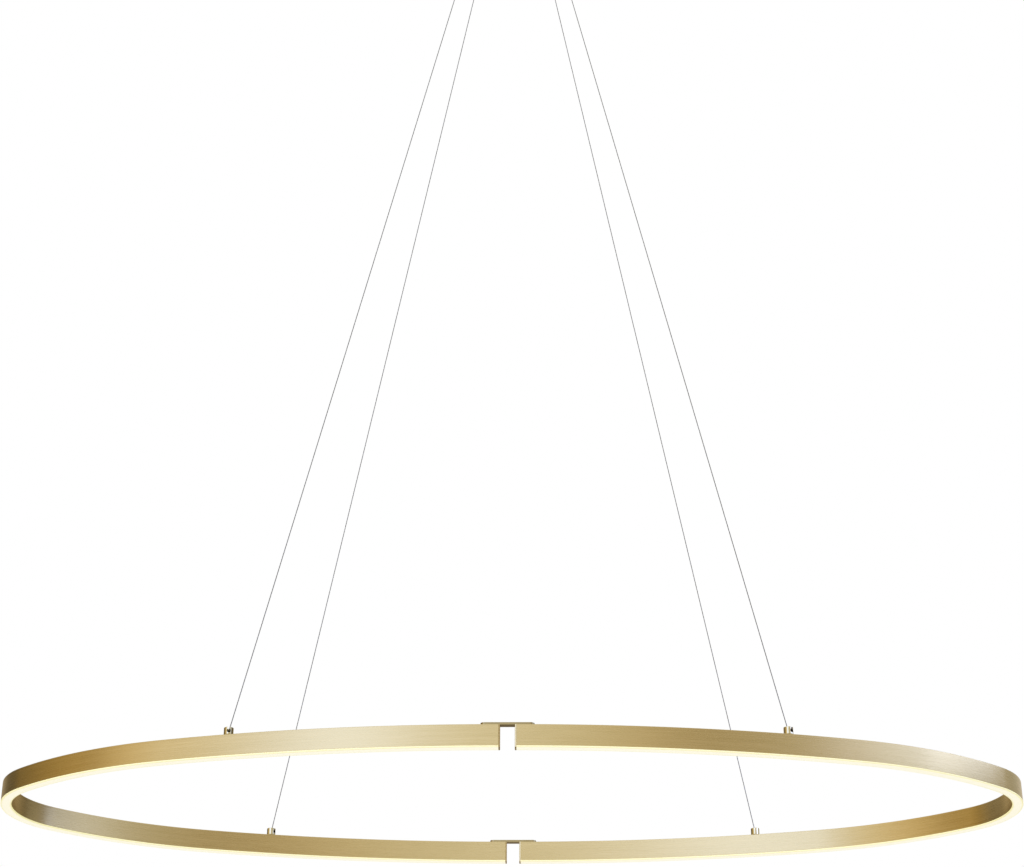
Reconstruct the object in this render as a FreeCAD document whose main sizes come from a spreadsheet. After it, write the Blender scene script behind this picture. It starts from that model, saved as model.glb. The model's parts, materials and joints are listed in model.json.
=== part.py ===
import FreeCAD, Part
import math
import os

import Sketcher

# Oval pendant lamp. Two bent light channels hang level on four thin steel cables, which rise to a
# round ceiling canopy. The origin is on the ceiling, at the middle of the bracket. X runs along the
# oval, -Y is its front, and Z is up.

os.makedirs("parts", exist_ok=True)
doc = FreeCAD.newDocument("oval_pendant")
sheet = doc.addObject("Spreadsheet::Sheet", "Sizes")
nodes = []


# Driving dimensions in millimetres and degrees, written once
driving = {
    # oval seen from above
    "ring_length": 1350, "ring_width": 540, "ring_gap": 18,
    "tip_fullness": 1.17, "shoulder_fullness": 1.14, "flank_fullness": 0.91,
    # light channel
    "profile_width": 14, "profile_height": 27, "side_wall": 1.5, "roof_wall": 2.5,
    "floor_height": 14, "floor_wall": 1.5,
    # diffuser and light board
    "diffuser_drop": 1.8, "leg_height": 5, "leg_wall": 1.2, "leg_clearance": 0.1,
    "board_width": 10, "board_thickness": 1, "emitter_width": 3, "emitter_height": 0.8,
    # end caps, bridge plates and their screws
    "cap_thickness": 2, "tongue_overrun": 6, "tongue_side_clearance": 0.5, "tongue_clearance": 0.15,
    "bridge_length": 66, "bridge_width": 10, "bridge_thickness": 3,
    "inner_screw_margin": 6, "outer_screw_margin": 6, "screw_diameter": 3, "screw_length": 10,
    "screw_head_diameter": 5.6, "countersink": 1.25, "screw_slip": 0.2, "thread_gap": 0.05,
    # cable holders
    "holder_x": 346, "holder_diameter": 12, "holder_height": 9.5, "holder_chamfer": 0.4,
    "ball_height": 4.6, "ball_diameter": 4.6, "ball_clearance": 0.2, "ball_neck_diameter": 3.9,
    "ball_mouth_diameter": 5.6, "ball_neck_height": 7.1, "slot_width": 2.2,
    "keyhole_front_left": -80, "keyhole_front_right": -47, "keyhole_back_left": -25,
    "keyhole_back_right": 100,
    "stud_diameter": 4, "stud_length": 8.6, "insulator_flange": 0.6, "insulator_diameter": 10,
    "insulator_wall": 0.8, "insulator_gap": 0.1, "washer_thickness": 0.8,
    "stud_nut_flats": 7, "stud_nut_height": 3.2, "pin_diameter": 1.6, "pin_clearance": 0.8,
    # cables
    "suspension_drop": 1500, "cable_diameter": 1.2, "terminal_collar_diameter": 1.7,
    "terminal_collar_length": 3.2, "tail_gap": 0.15, "tail_length": 12,
    # canopy
    "canopy_diameter": 180, "canopy_height": 45, "canopy_wall": 1.5, "canopy_edge": 1.2,
    "gripper_x": 42, "gripper_y": 54,
    "strap_width": 30, "strap_thickness": 2, "strap_slip": 0.4, "tab_drop": 18, "bend_radius": 3,
    "fixing_spacing": 100, "fixing_slot_length": 12, "fixing_slot_width": 4.5,
    "side_screw_drop": 10, "side_screw_diameter": 4, "side_screw_length": 8,
    "side_screw_head_diameter": 8, "side_screw_head_height": 2.5,
    # cable grippers
    "gripper_flange_diameter": 15, "gripper_flange_height": 2, "gripper_barrel_diameter": 10,
    "gripper_barrel_height": 22, "gripper_lid": 2, "gripper_lid_hole": 2, "guide_diameter": 3.6,
    "taper_foot": 4, "taper_foot_diameter": 4.4, "taper_top": 12, "taper_top_diameter": 7.4,
    "gripper_hole_slip": 0.1, "gripper_nut_flats": 14, "gripper_nut_height": 3,
    "plunger_slip": 0.08, "plunger_bore": 1.8, "plunger_reach": 9, "plunger_knob_diameter": 6.4,
    "plunger_knob_height": 3, "plunger_mouth_diameter": 3.2, "plunger_mouth_depth": 1,
    "plunger_flange_slip": 0.12, "plunger_flange_thickness": 0.8,
    "jaw_foot": 5.6, "jaw_height": 5.4, "jaw_spread": 112, "jaw_slip": 0.06, "jaw_gap": 0.1,
    "jaw_bore": 1.36, "spring_diameter": 5.2, "spring_wire": 0.6, "spring_turns": 3, "spring_gap": 0.05,
    # power supply and terminal block
    "driver_length": 104, "driver_width": 38, "driver_height": 25, "driver_corner": 2,
    "driver_ear_length": 11, "driver_ear_thickness": 2, "driver_ear_width": 16,
    "driver_stud_x": 58, "driver_stud_diameter": 3, "driver_stud_height": 6,
    "driver_nut_flats": 5.5, "driver_nut_height": 2.4,
    "terminal_length": 32, "terminal_width": 18, "terminal_height": 14, "terminal_y": 36,
    "terminal_pitch": 10, "terminal_wire_hole": 4, "terminal_wire_height": 6, "terminal_wire_depth": 11,
    "terminal_screw_hole": 4.4, "terminal_screw_depth": 6,
}


class Size:
    """A number together with the sheet expression that gives it."""

    def __init__(self, number, text):
        self.number, self.text = number, text

    def __add__(self, other):
        other = as_size(other)
        return Size(self.number + other.number, f"({self.text} + {other.text})")

    def __sub__(self, other):
        other = as_size(other)
        return Size(self.number - other.number, f"({self.text} - {other.text})")

    def __mul__(self, other):
        other = as_size(other)
        return Size(self.number * other.number, f"({self.text} * {other.text})")

    def __truediv__(self, other):
        other = as_size(other)
        return Size(self.number / other.number, f"({self.text} / {other.text})")

    def __neg__(self):
        return Size(-self.number, f"(0 - {self.text})")

    __radd__ = __add__
    __rmul__ = __mul__

    def __rsub__(self, other):
        return as_size(other) - self


def as_size(value):
    return value if isinstance(value, Size) else Size(float(value), f"({value})")


def root(size):
    return Size(math.sqrt(size.number), f"sqrt({size.text})")


def fill_sheet():
    """Write each driving dimension to the sheet and return them by name."""
    found = {}
    for row, (name, value) in enumerate(driving.items(), start=1):
        sheet.set(f"A{row}", name)
        sheet.set(f"B{row}", str(value))
        sheet.setAlias(f"B{row}", name)
        found[name] = Size(float(value), f"Sizes.{name}")
    doc.recompute()
    return found


size = fill_sheet()


# Sketch helpers: every corner is held by distances from the sketch's origin, bound to the sheet
def new_body(name):
    body = doc.addObject("PartDesign::Body", name)
    body.Label = name
    nodes.append(body)
    return body


def bind(thing, path, value):
    thing.setExpression(path, as_size(value).text)


def move(thing, x=0, y=0, z=0, turn=0):
    """Place a piece, turned about its own Z axis."""
    base = FreeCAD.Vector(*(as_size(v).number for v in (x, y, z)))
    thing.Placement = FreeCAD.Placement(base, FreeCAD.Rotation(FreeCAD.Vector(0, 0, 1), as_size(turn).number))
    for axis, value in zip("xyz", (x, y, z)):
        bind(thing, f"Placement.Base.{axis}", value)


def new_sketch(body, name, plane, offset=0):
    sketch = body.newObject("Sketcher::SketchObject", name)
    support = next(item for item in body.Origin.OriginFeatures if item.Role == plane)
    sketch.AttachmentSupport = [(support, "")]
    sketch.MapMode = "FlatFace"
    sketch.AttachmentOffset = FreeCAD.Placement(
        FreeCAD.Vector(0, 0, as_size(offset).number), FreeCAD.Rotation())
    bind(sketch, "AttachmentOffset.Base.z", offset)
    return sketch


def hold(sketch, kind, *where, value):
    """Add one driven distance, radius or angle to a sketch."""
    value = as_size(value)
    index = sketch.addConstraint(Sketcher.Constraint(kind, *where, value.number))
    bind(sketch, f"Constraints[{index}]", value)


def hold_point(sketch, line, end, x, y):
    hold(sketch, "DistanceX", -1, 1, line, end, value=x)
    hold(sketch, "DistanceY", -1, 1, line, end, value=y)


def draw_outline(sketch, points):
    """Draw one closed outline of straight lines through the points."""
    points = [(as_size(x), as_size(y)) for x, y in points]
    spots = [FreeCAD.Vector(x.number, y.number, 0) for x, y in points]
    lines = [sketch.addGeometry(Part.LineSegment(spots[i], spots[(i + 1) % len(spots)]))
             for i in range(len(spots))]
    for i, line in enumerate(lines):
        sketch.addConstraint(Sketcher.Constraint("Coincident", line, 2, lines[(i + 1) % len(lines)], 1))
        hold_point(sketch, line, 1, *points[i])


def draw_box(sketch, left, bottom, right, top):
    draw_outline(sketch, [(left, bottom), (right, bottom), (right, top), (left, top)])


def draw_circle(sketch, x, y, diameter):
    centre = FreeCAD.Vector(as_size(x).number, as_size(y).number, 0)
    circle = sketch.addGeometry(Part.Circle(centre, FreeCAD.Vector(0, 0, 1), as_size(diameter).number / 2))
    hold_point(sketch, circle, 3, x, y)
    hold(sketch, "Diameter", circle, value=diameter)


def draw_slot(sketch, x, y, length, width):
    """Draw a slot along X with round ends."""
    x, y, length, width = (as_size(v) for v in (x, y, length, width))
    reach, radius = (length - width) / 2, width / 2
    up = FreeCAD.Vector(0, 0, 1)
    left = FreeCAD.Vector(x.number - reach.number, y.number, 0)
    right = FreeCAD.Vector(x.number + reach.number, y.number, 0)
    rise = FreeCAD.Vector(0, radius.number, 0)
    arc_left = sketch.addGeometry(
        Part.ArcOfCircle(Part.Circle(left, up, radius.number), math.pi / 2, 3 * math.pi / 2))
    low = sketch.addGeometry(Part.LineSegment(left - rise, right - rise))
    arc_right = sketch.addGeometry(
        Part.ArcOfCircle(Part.Circle(right, up, radius.number), -math.pi / 2, math.pi / 2))
    high = sketch.addGeometry(Part.LineSegment(right + rise, left + rise))
    for first, second in ((arc_left, low), (low, arc_right), (arc_right, high), (high, arc_left)):
        sketch.addConstraint(Sketcher.Constraint("Tangent", first, 2, second, 1))
    hold_point(sketch, arc_left, 3, x - reach, y)
    hold(sketch, "DistanceX", -1, 1, arc_right, 3, value=x + reach)
    hold(sketch, "Radius", arc_left, value=radius)


# Solid helpers
def pad(body, sketch, length, name, both_ways=False, reverse=False):
    feature = body.newObject("PartDesign::Pad", name)
    feature.Profile = sketch
    feature.Length = as_size(length).number
    bind(feature, "Length", length)
    feature.Midplane = both_ways
    feature.Reversed = reverse
    doc.recompute()
    return feature


def pocket(body, sketch, length, name, both_ways=False, reverse=False):
    """Cut a sketch out of a body and check that it took something away."""
    before = body.Shape.Volume
    feature = body.newObject("PartDesign::Pocket", name)
    feature.Profile = sketch
    feature.Length = as_size(length).number
    bind(feature, "Length", length)
    feature.Midplane = both_ways
    feature.Reversed = reverse
    doc.recompute()
    if body.Shape.Volume >= before - 1e-6:
        raise ValueError(f"{body.Label}: {name} cuts nothing")
    return feature


def revolve(body, points, name):
    """Turn a half section, given as radius and height, about the Z axis."""
    sketch = new_sketch(body, f"{name}_section", "XZ_Plane")
    draw_outline(sketch, points)
    feature = body.newObject("PartDesign::Revolution", name)
    feature.Profile = sketch
    feature.ReferenceAxis = (sketch, ["V_Axis"])
    feature.Angle = 360
    doc.recompute()
    return feature


def edges_where(feature, test):
    return [f"Edge{i}" for i, edge in enumerate(feature.Shape.Edges, start=1) if test(edge)]


def dress(body, kind, base, test, amount, name):
    """Fillet or chamfer the edges of a feature that pass a test."""
    feature = body.newObject(f"PartDesign::{kind}", name)
    feature.Base = (base, edges_where(base, test))
    path = "Radius" if kind == "Fillet" else "Size"
    setattr(feature, path, as_size(amount).number)
    bind(feature, path, amount)
    doc.recompute()
    return feature


def cylinder(name, diameter, height, x=0, y=0, z=0):
    """A plain cylinder that stands on a point."""
    solid = doc.addObject("Part::Cylinder", name)
    solid.Radius, solid.Height = as_size(diameter).number / 2, as_size(height).number
    bind(solid, "Radius", as_size(diameter) / 2)
    bind(solid, "Height", height)
    move(solid, x, y, z)
    return solid


def hexagon(name, flats, height, x, y, z):
    solid = doc.addObject("Part::Prism", name)
    solid.Polygon = 6
    corner = as_size(flats) / root(as_size(3))
    solid.Circumradius, solid.Height = corner.number, as_size(height).number
    bind(solid, "Circumradius", corner)
    bind(solid, "Height", height)
    move(solid, x, y, z)
    return solid


def cut(name, base, tool):
    result = doc.addObject("Part::Cut", name)
    result.Base, result.Tool = base, tool
    return result


def fuse(name, *solids):
    result = doc.addObject("Part::MultiFuse", name)
    result.Shapes = list(solids)
    return result


def group(name, solids):
    """One node of separate, identical solids."""
    result = doc.addObject("Part::Compound", name)
    result.Label = name
    result.Links = list(solids)
    nodes.append(result)
    return result


# Places that several pieces share
half_gap = size["ring_gap"] / 2
metal_end = half_gap + size["cap_thickness"]
line_width = size["profile_width"] / 2
half_length = size["ring_length"] / 2 - line_width - metal_end
half_width = size["ring_width"] / 2 - line_width
ring_z = -(size["canopy_height"] + size["suspension_drop"] + size["profile_height"])
channel = size["profile_width"] / 2 - size["side_wall"]
chamber_low = size["floor_height"] + size["floor_wall"]
chamber_high = size["profile_height"] - size["roof_wall"]
canopy_floor = size["canopy_wall"] - size["canopy_height"]
screw_places = (metal_end + size["inner_screw_margin"], size["bridge_length"] / 2 - size["outer_screw_margin"])

# Radii of the three arcs in each quarter of the oval, which together follow an ellipse closely
tip_radius = size["tip_fullness"] * half_width * half_width / half_length
flank_radius = size["flank_fullness"] * half_length * half_length / half_width
shoulder_radius = size["shoulder_fullness"] * root(tip_radius * flank_radius)

# The holders stand on the middle line of the flank arcs
holder_along = size["holder_x"] - metal_end
holder_y = (half_width - flank_radius
            + root(flank_radius * flank_radius - holder_along * holder_along))
holder_z = ring_z + size["profile_height"] + size["insulator_flange"]

corners = {"front_left": (-1, -1), "front_right": (1, -1), "back_left": (-1, 1), "back_right": (1, 1)}


def arc_joints():
    """Centres of the tip, shoulder and flank arcs, and the points where they meet."""
    small, middle, large = tip_radius.number, shoulder_radius.number, flank_radius.number
    tip = FreeCAD.Vector(half_length.number - small, 0, 0)
    flank = FreeCAD.Vector(0, half_width.number - large, 0)
    apart = (flank - tip).Length
    along = ((middle - small) ** 2 - (large - middle) ** 2 + apart ** 2) / (2 * apart)
    aside = math.sqrt((middle - small) ** 2 - along ** 2)
    way = (flank - tip) / apart
    shoulder = tip + way * along + FreeCAD.Vector(way.y, -way.x, 0) * aside
    low = tip + (tip - shoulder) * (small / (middle - small))
    high = shoulder + (shoulder - flank) * (middle / (large - middle))
    return tip, shoulder, flank, low, high


def draw_path(body, side):
    """Middle line of one half of the oval, as five tangent arcs from the front gap to the back gap."""
    sketch = new_sketch(body, "path", "XY_Plane")
    tip, shoulder, flank, low, high = arc_joints()
    end = metal_end.number

    def spot(point, y_side):
        return FreeCAD.Vector(side * (point.x + end), y_side * point.y, 0)

    gap_point = FreeCAD.Vector(0, half_width.number, 0)
    runs = [(flank, flank_radius, gap_point, high, -1), (shoulder, shoulder_radius, high, low, -1),
            (tip, tip_radius, low, low, 0), (shoulder, shoulder_radius, low, high, 1),
            (flank, flank_radius, high, gap_point, 1)]
    arcs = []
    for centre, radius, first, last, y_side in runs:
        middle = spot(centre, y_side or 1)
        start, stop = spot(first, y_side or -1), spot(last, y_side or 1)
        if side < 0:
            start, stop = stop, start
        angles = [math.atan2(p.y - middle.y, p.x - middle.x) for p in (start, stop)]
        if angles[1] < angles[0]:
            angles[1] += 2 * math.pi
        circle = Part.Circle(middle, FreeCAD.Vector(0, 0, 1), radius.number)
        arcs.append(sketch.addGeometry(Part.ArcOfCircle(circle, *angles)))
    leave, arrive = (2, 1) if side > 0 else (1, 2)
    for first, second in zip(arcs, arcs[1:]):
        sketch.addConstraint(Sketcher.Constraint("Tangent", first, leave, second, arrive))
    for arc, run in zip(arcs, runs):
        hold(sketch, "Radius", arc, value=run[1])
    hold_point(sketch, arcs[2], 3, side * (metal_end + half_length - tip_radius), 0)
    hold_point(sketch, arcs[0], arrive, side * metal_end, -half_width)
    hold(sketch, "DistanceX", -1, 1, arcs[0], 3, value=side * metal_end)
    hold_point(sketch, arcs[4], leave, side * metal_end, half_width)
    return sketch


def sweep(name, side, *outlines):
    """Bend a section along one half of the oval. Its points are across and up from the middle line."""
    body = new_body(name)
    path = draw_path(body, side)
    section = new_sketch(body, "section", "YZ_Plane", side * metal_end)
    for outline in outlines:
        draw_outline(section, [(across - half_width, up) for across, up in outline])
    doc.recompute()
    pipe = body.newObject("PartDesign::AdditivePipe", "bend")
    pipe.Profile = section
    pipe.Spine = (path, [])
    doc.recompute()
    area = Part.makeFace(section.Shape.Wires, "Part::FaceMakerBullseye").Area
    length = sum(edge.Length for edge in path.Shape.Edges)
    if abs(pipe.Shape.Volume - area * length) > 0.01 * pipe.Shape.Volume:
        print(f"{name}: swept volume {pipe.Shape.Volume:.0f}, section by length {area * length:.0f}")
    move(body, z=ring_z)
    return body


def profile(name, side):
    """Bent light channel, open below, with a closed wiring chamber above its floor."""
    outer = size["profile_width"] / 2
    shell = [(-outer, 0), (-channel, 0), (-channel, size["floor_height"]), (channel, size["floor_height"]),
             (channel, 0), (outer, 0), (outer, size["profile_height"]), (-outer, size["profile_height"])]
    chamber = [(-channel, chamber_low), (channel, chamber_low), (channel, chamber_high),
               (-channel, chamber_high)]
    body = sweep(name, side, shell, chamber)
    roof = new_sketch(body, "roof_holes", "XY_Plane", size["profile_height"])
    for y_side in (-1, 1):
        for x in screw_places:
            draw_circle(roof, side * x, y_side * half_width, size["screw_diameter"] + 2 * size["screw_slip"])
        stud_hole = size["stud_diameter"] + 2 * (size["insulator_wall"] + 2 * size["insulator_gap"])
        draw_circle(roof, side * size["holder_x"], y_side * holder_y, stud_hole)
    pocket(body, roof, size["roof_wall"] + size["floor_wall"], "roof_hole_cut")
    floor = new_sketch(body, "floor_holes", "XY_Plane", chamber_low)
    for y_side in (-1, 1):
        draw_circle(floor, side * size["holder_x"], y_side * holder_y,
                    size["pin_diameter"] + 2 * size["pin_clearance"])
    pocket(body, floor, size["floor_wall"] + size["board_thickness"], "floor_hole_cut")
    return body


def diffuser(name, side):
    """Opal cover that closes the channel from below and clips in with two legs."""
    outer = size["profile_width"] / 2
    leg_out = channel - size["leg_clearance"]
    leg_in = leg_out - size["leg_wall"]
    low, high = -size["diffuser_drop"], size["leg_height"]
    return sweep(name, side, [(-outer, low), (outer, low), (outer, 0), (leg_out, 0), (leg_out, high),
                              (leg_in, high), (leg_in, 0), (-leg_in, 0), (-leg_in, high),
                              (-leg_out, high), (-leg_out, 0), (-outer, 0)])


def light_board(name, side):
    """Metal-backed board under the channel's floor, with one unbroken line of phosphor."""
    edge, line = size["board_width"] / 2, size["emitter_width"] / 2
    top = size["floor_height"]
    under = top - size["board_thickness"]
    glow = under - size["emitter_height"]
    return sweep(name, side, [(-edge, under), (-line, under), (-line, glow), (line, glow),
                              (line, under), (edge, under), (edge, top), (-edge, top)])


def end_cap(name, x_side, y_side):
    """Plate over a channel's end, with a tongue in the wiring chamber that the bridge screws pull on."""
    body = new_body(name)
    outer = size["profile_width"] / 2
    plate = new_sketch(body, "plate_outline", "YZ_Plane")
    draw_box(plate, -outer, -size["diffuser_drop"], outer, size["profile_height"])
    pad(body, plate, size["cap_thickness"], "plate")
    tongue = new_sketch(body, "tongue_outline", "YZ_Plane", size["cap_thickness"])
    reach = channel - size["tongue_side_clearance"]
    draw_box(tongue, -reach, chamber_low + size["tongue_clearance"],
             reach, chamber_high - size["tongue_clearance"])
    tip = screw_places[1] + size["tongue_overrun"] - half_gap
    solid = pad(body, tongue, tip - size["cap_thickness"], "tongue")
    lead = dress(body, "Chamfer", solid, lambda e: abs(e.CenterOfMass.x - tip.number) < 1e-6
                 and e.Length > channel.number, size["cap_thickness"] / 2, "tongue_lead")
    body.Tip = lead
    screws = new_sketch(body, "screw_holes", "XY_Plane", size["profile_height"])
    for x in screw_places:
        draw_circle(screws, x - half_gap, 0, size["screw_diameter"] + 2 * size["thread_gap"])
    pocket(body, screws, size["profile_height"] - chamber_low, "screw_hole_cut")
    move(body, x_side * half_gap, y_side * half_width, ring_z, 0 if x_side > 0 else 180)
    return body


def bridge_plate(name, y_side):
    """Flat strap over a gap, with four countersunk holes."""
    body = new_body(name)
    outline = new_sketch(body, "strap_outline", "XY_Plane")
    draw_slot(outline, 0, 0, size["bridge_length"], size["bridge_width"])
    hole = size["screw_diameter"] + 2 * size["screw_slip"]
    for x_side in (-1, 1):
        for x in screw_places:
            draw_circle(outline, x_side * x, 0, hole)
    strap = pad(body, outline, size["bridge_thickness"], "strap")
    sunk = dress(body, "Chamfer", strap,
                 lambda e: e.CenterOfMass.z > size["bridge_thickness"].number - 1e-6
                 and abs(e.Length - math.pi * hole.number) < 1e-3, size["countersink"], "countersinks")
    body.Tip = sunk
    move(body, 0, y_side * half_width, ring_z + size["profile_height"])
    return body


def bridge_screws():
    """Eight countersunk screws, four through each strap."""
    shank, head = size["screw_diameter"], size["screw_head_diameter"]
    cone = (head - shank) / 2
    top = ring_z + size["profile_height"] + size["bridge_thickness"] - size["thread_gap"]
    solids = []
    for y_side in (-1, 1):
        for x_side in (-1, 1):
            for x in screw_places:
                place = (x_side * x, y_side * half_width)
                number = len(solids) + 1
                body = cylinder(f"screw_shank_{number}", shank, size["screw_length"], *place,
                                top - size["screw_length"])
                sunk = doc.addObject("Part::Cone", f"screw_head_{number}")
                sunk.Radius1, sunk.Radius2, sunk.Height = (v.number for v in (shank / 2, head / 2, cone))
                for path, value in (("Radius1", shank / 2), ("Radius2", head / 2), ("Height", cone)):
                    bind(sunk, path, value)
                move(sunk, *place, top - cone)
                solids.append(fuse(f"screw_{number}", body, sunk))
    group("bridge_screws", solids)


def cable_holder(name, x_side, y_side, angle):
    """Turned brass post with a side bore and a slot, which the cable's ball end slides into."""
    body = new_body(name)
    outer, stud = size["holder_diameter"] / 2, size["stud_diameter"] / 2
    top, edge = size["holder_height"], size["holder_chamfer"]
    neck, mouth = size["ball_neck_diameter"] / 2, size["ball_mouth_diameter"] / 2
    revolve(body, [(0, -size["stud_length"]), (stud, -size["stud_length"]), (stud, 0), (outer - edge, 0),
                   (outer, edge), (outer, top - edge), (outer - edge, top), (mouth, top),
                   (neck, size["ball_neck_height"]), (neck, size["ball_height"]),
                   (0, size["ball_height"])], "post")
    bore_diameter = size["ball_diameter"] + 2 * size["ball_clearance"]
    bore = new_sketch(body, "ball_bore_outline", "YZ_Plane", -bore_diameter / 2)
    draw_circle(bore, 0, size["ball_height"], bore_diameter)
    pocket(body, bore, bore_diameter / 2 + size["holder_diameter"], "ball_bore", reverse=True)
    slot = new_sketch(body, "cable_slot_outline", "YZ_Plane")
    draw_box(slot, -size["slot_width"] / 2, size["ball_height"],
             size["slot_width"] / 2, size["holder_height"] + size["holder_chamfer"])
    pocket(body, slot, size["holder_diameter"], "cable_slot", reverse=True)
    move(body, x_side * size["holder_x"], y_side * holder_y, holder_z, angle)
    return body


def holder_insulators():
    """Flanged bush and washer that keep each live stud clear of the channel."""
    bore = size["stud_diameter"] + 2 * size["insulator_gap"]
    sleeve = bore + 2 * size["insulator_wall"]
    roof = ring_z + size["profile_height"]
    under = ring_z + chamber_high
    solids = []
    for name, (x_side, y_side) in corners.items():
        place = (x_side * size["holder_x"], y_side * holder_y)
        sleeve_z = under + size["insulator_gap"]
        outer = fuse(f"bush_blank_{name}",
                     cylinder(f"bush_flange_{name}", size["insulator_diameter"],
                              size["insulator_flange"], *place, roof),
                     cylinder(f"bush_sleeve_{name}", sleeve,
                              size["roof_wall"] + size["insulator_flange"] - size["insulator_gap"],
                              *place, sleeve_z))
        solids.append(cut(f"bush_{name}", outer,
                          cylinder(f"bush_bore_{name}", bore, size["profile_height"], *place, ring_z
                                   + size["floor_height"])))
        solids.append(cut(f"washer_{name}",
                          cylinder(f"washer_blank_{name}", size["insulator_diameter"],
                                   size["washer_thickness"], *place, under - size["washer_thickness"]),
                          cylinder(f"washer_bore_{name}", bore, size["profile_height"], *place,
                                   ring_z + size["floor_height"])))
    group("holder_insulators", solids)


def nut_group(name, flats, height, thread, places):
    """Hexagon nuts with plain bores."""
    solids = []
    for number, (x, y, z) in enumerate(places, start=1):
        blank = hexagon(f"{name}_blank_{number}", flats, height, x, y, z)
        bore = cylinder(f"{name}_bore_{number}", thread + 2 * size["thread_gap"], height, x, y, z)
        solids.append(cut(f"{name}_{number}", blank, bore))
    group(name, solids)


def contact_pins():
    """Pins that carry power from the studs through the channel's floor to the light boards."""
    top = size["profile_height"] + size["insulator_flange"] - size["stud_length"]
    group("contact_pins", [
        cylinder(f"pin_{name}", size["pin_diameter"], top - size["floor_height"],
                 x_side * size["holder_x"], y_side * holder_y, ring_z + size["floor_height"])
        for name, (x_side, y_side) in corners.items()])


def cable_line(x_side, y_side):
    """Ball centre, gripper mouth and the straight line between them."""
    ball = FreeCAD.Vector(x_side * size["holder_x"].number, y_side * holder_y.number,
                          (holder_z + size["ball_height"]).number)
    mouth = FreeCAD.Vector(x_side * size["gripper_x"].number, y_side * size["gripper_y"].number,
                           -(size["canopy_height"] + size["plunger_reach"]).number)
    return ball, mouth, (mouth - ball)


def suspension_cable(name, x_side, y_side):
    """Steel cable, taut and straight from its ball terminal to the gripper."""
    ball, mouth, line = cable_line(x_side, y_side)
    solid = doc.addObject("Part::Cylinder", f"suspension_cable_{name}")
    solid.Label = solid.Name
    solid.Radius = size["cable_diameter"].number / 2
    bind(solid, "Radius", size["cable_diameter"] / 2)
    collar = size["terminal_collar_length"].number
    solid.Height = line.Length - collar
    start = ball + line * (collar / line.Length)
    solid.Placement = FreeCAD.Placement(start, FreeCAD.Rotation(FreeCAD.Vector(0, 0, 1), line))
    nodes.append(solid)
    print(f"{solid.Label}: {solid.Height.Value:.1f} long, "
          f"{math.degrees(line.getAngle(FreeCAD.Vector(0, 0, 1))):.2f} degrees from upright")


def ball_terminal(name, x_side, y_side):
    """Ball pressed on the cable's end, with a short collar along the cable."""
    ball, mouth, line = cable_line(x_side, y_side)
    sphere = doc.addObject("Part::Sphere", f"ball_{name}")
    sphere.Radius = size["ball_diameter"].number / 2
    bind(sphere, "Radius", size["ball_diameter"] / 2)
    sphere.Placement = FreeCAD.Placement(ball, FreeCAD.Rotation())
    collar = doc.addObject("Part::Cylinder", f"collar_{name}")
    collar.Radius = size["terminal_collar_diameter"].number / 2
    collar.Height = size["terminal_collar_length"].number
    bind(collar, "Radius", size["terminal_collar_diameter"] / 2)
    bind(collar, "Height", size["terminal_collar_length"])
    collar.Placement = FreeCAD.Placement(ball, FreeCAD.Rotation(FreeCAD.Vector(0, 0, 1), line))
    whole = fuse(f"ball_terminal_{name}", sphere, collar)
    whole.Label = whole.Name
    nodes.append(whole)


def cable_tails():
    """Upper ends of the cables, which run on upright through the grippers into the canopy."""
    low = size["plunger_reach"] - size["tail_gap"]
    group("cable_tails", [
        cylinder(f"tail_{name}", size["cable_diameter"],
                 low + size["gripper_barrel_height"] + size["tail_length"],
                 x_side * size["gripper_x"], y_side * size["gripper_y"], -(size["canopy_height"] + low))
        for name, (x_side, y_side) in corners.items()])


def at_gripper(body, x_side, y_side):
    move(body, x_side * size["gripper_x"], y_side * size["gripper_y"], -size["canopy_height"])


def gripper_body(name, x_side, y_side):
    """Threaded barrel with a flange under the canopy and a tapered seat for the jaws."""
    body = new_body(f"gripper_body_{name}")
    barrel, flange = size["gripper_barrel_diameter"] / 2, size["gripper_flange_diameter"] / 2
    top, lid = size["gripper_barrel_height"], size["gripper_lid"]
    guide, hole = size["guide_diameter"] / 2, size["gripper_lid_hole"] / 2
    foot, head = taper_radius(size["taper_foot"]), taper_radius(size["taper_top"])
    revolve(body, [(guide, -size["gripper_flange_height"]), (flange, -size["gripper_flange_height"]),
                   (flange, 0), (barrel, 0), (barrel, top), (hole, top), (hole, top - lid),
                   (head, top - lid), (head, size["taper_top"]), (foot, size["taper_foot"]),
                   (guide, size["taper_foot"])], "barrel")
    at_gripper(body, x_side, y_side)


def taper_radius(height):
    """Radius of the barrel's tapered seat at a height above the canopy's underside."""
    foot, head = size["taper_foot_diameter"] / 2, size["taper_top_diameter"] / 2
    slope = (head - foot) / (size["taper_top"] - size["taper_foot"])
    return foot + slope * (height - size["taper_foot"])


def release_plunger(name, x_side, y_side):
    """Tube under the jaws, with a knob below the canopy. Pushing it up lets the cable run."""
    body = new_body(f"release_plunger_{name}")
    stem, bore = size["guide_diameter"] / 2 - size["plunger_slip"], size["plunger_bore"] / 2
    low, knob = -size["plunger_reach"], size["plunger_knob_diameter"] / 2
    high = size["jaw_foot"] - size["jaw_gap"]
    step = high - size["plunger_flange_thickness"]
    flange = taper_radius(step) - size["plunger_flange_slip"]
    revolve(body, [(bore, low + size["plunger_mouth_depth"]), (size["plunger_mouth_diameter"] / 2, low),
                   (knob, low), (knob, low + size["plunger_knob_height"]),
                   (stem, low + size["plunger_knob_height"]), (stem, step), (flange, step),
                   (flange, high), (bore, high)], "tube")
    at_gripper(body, x_side, y_side)


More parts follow.
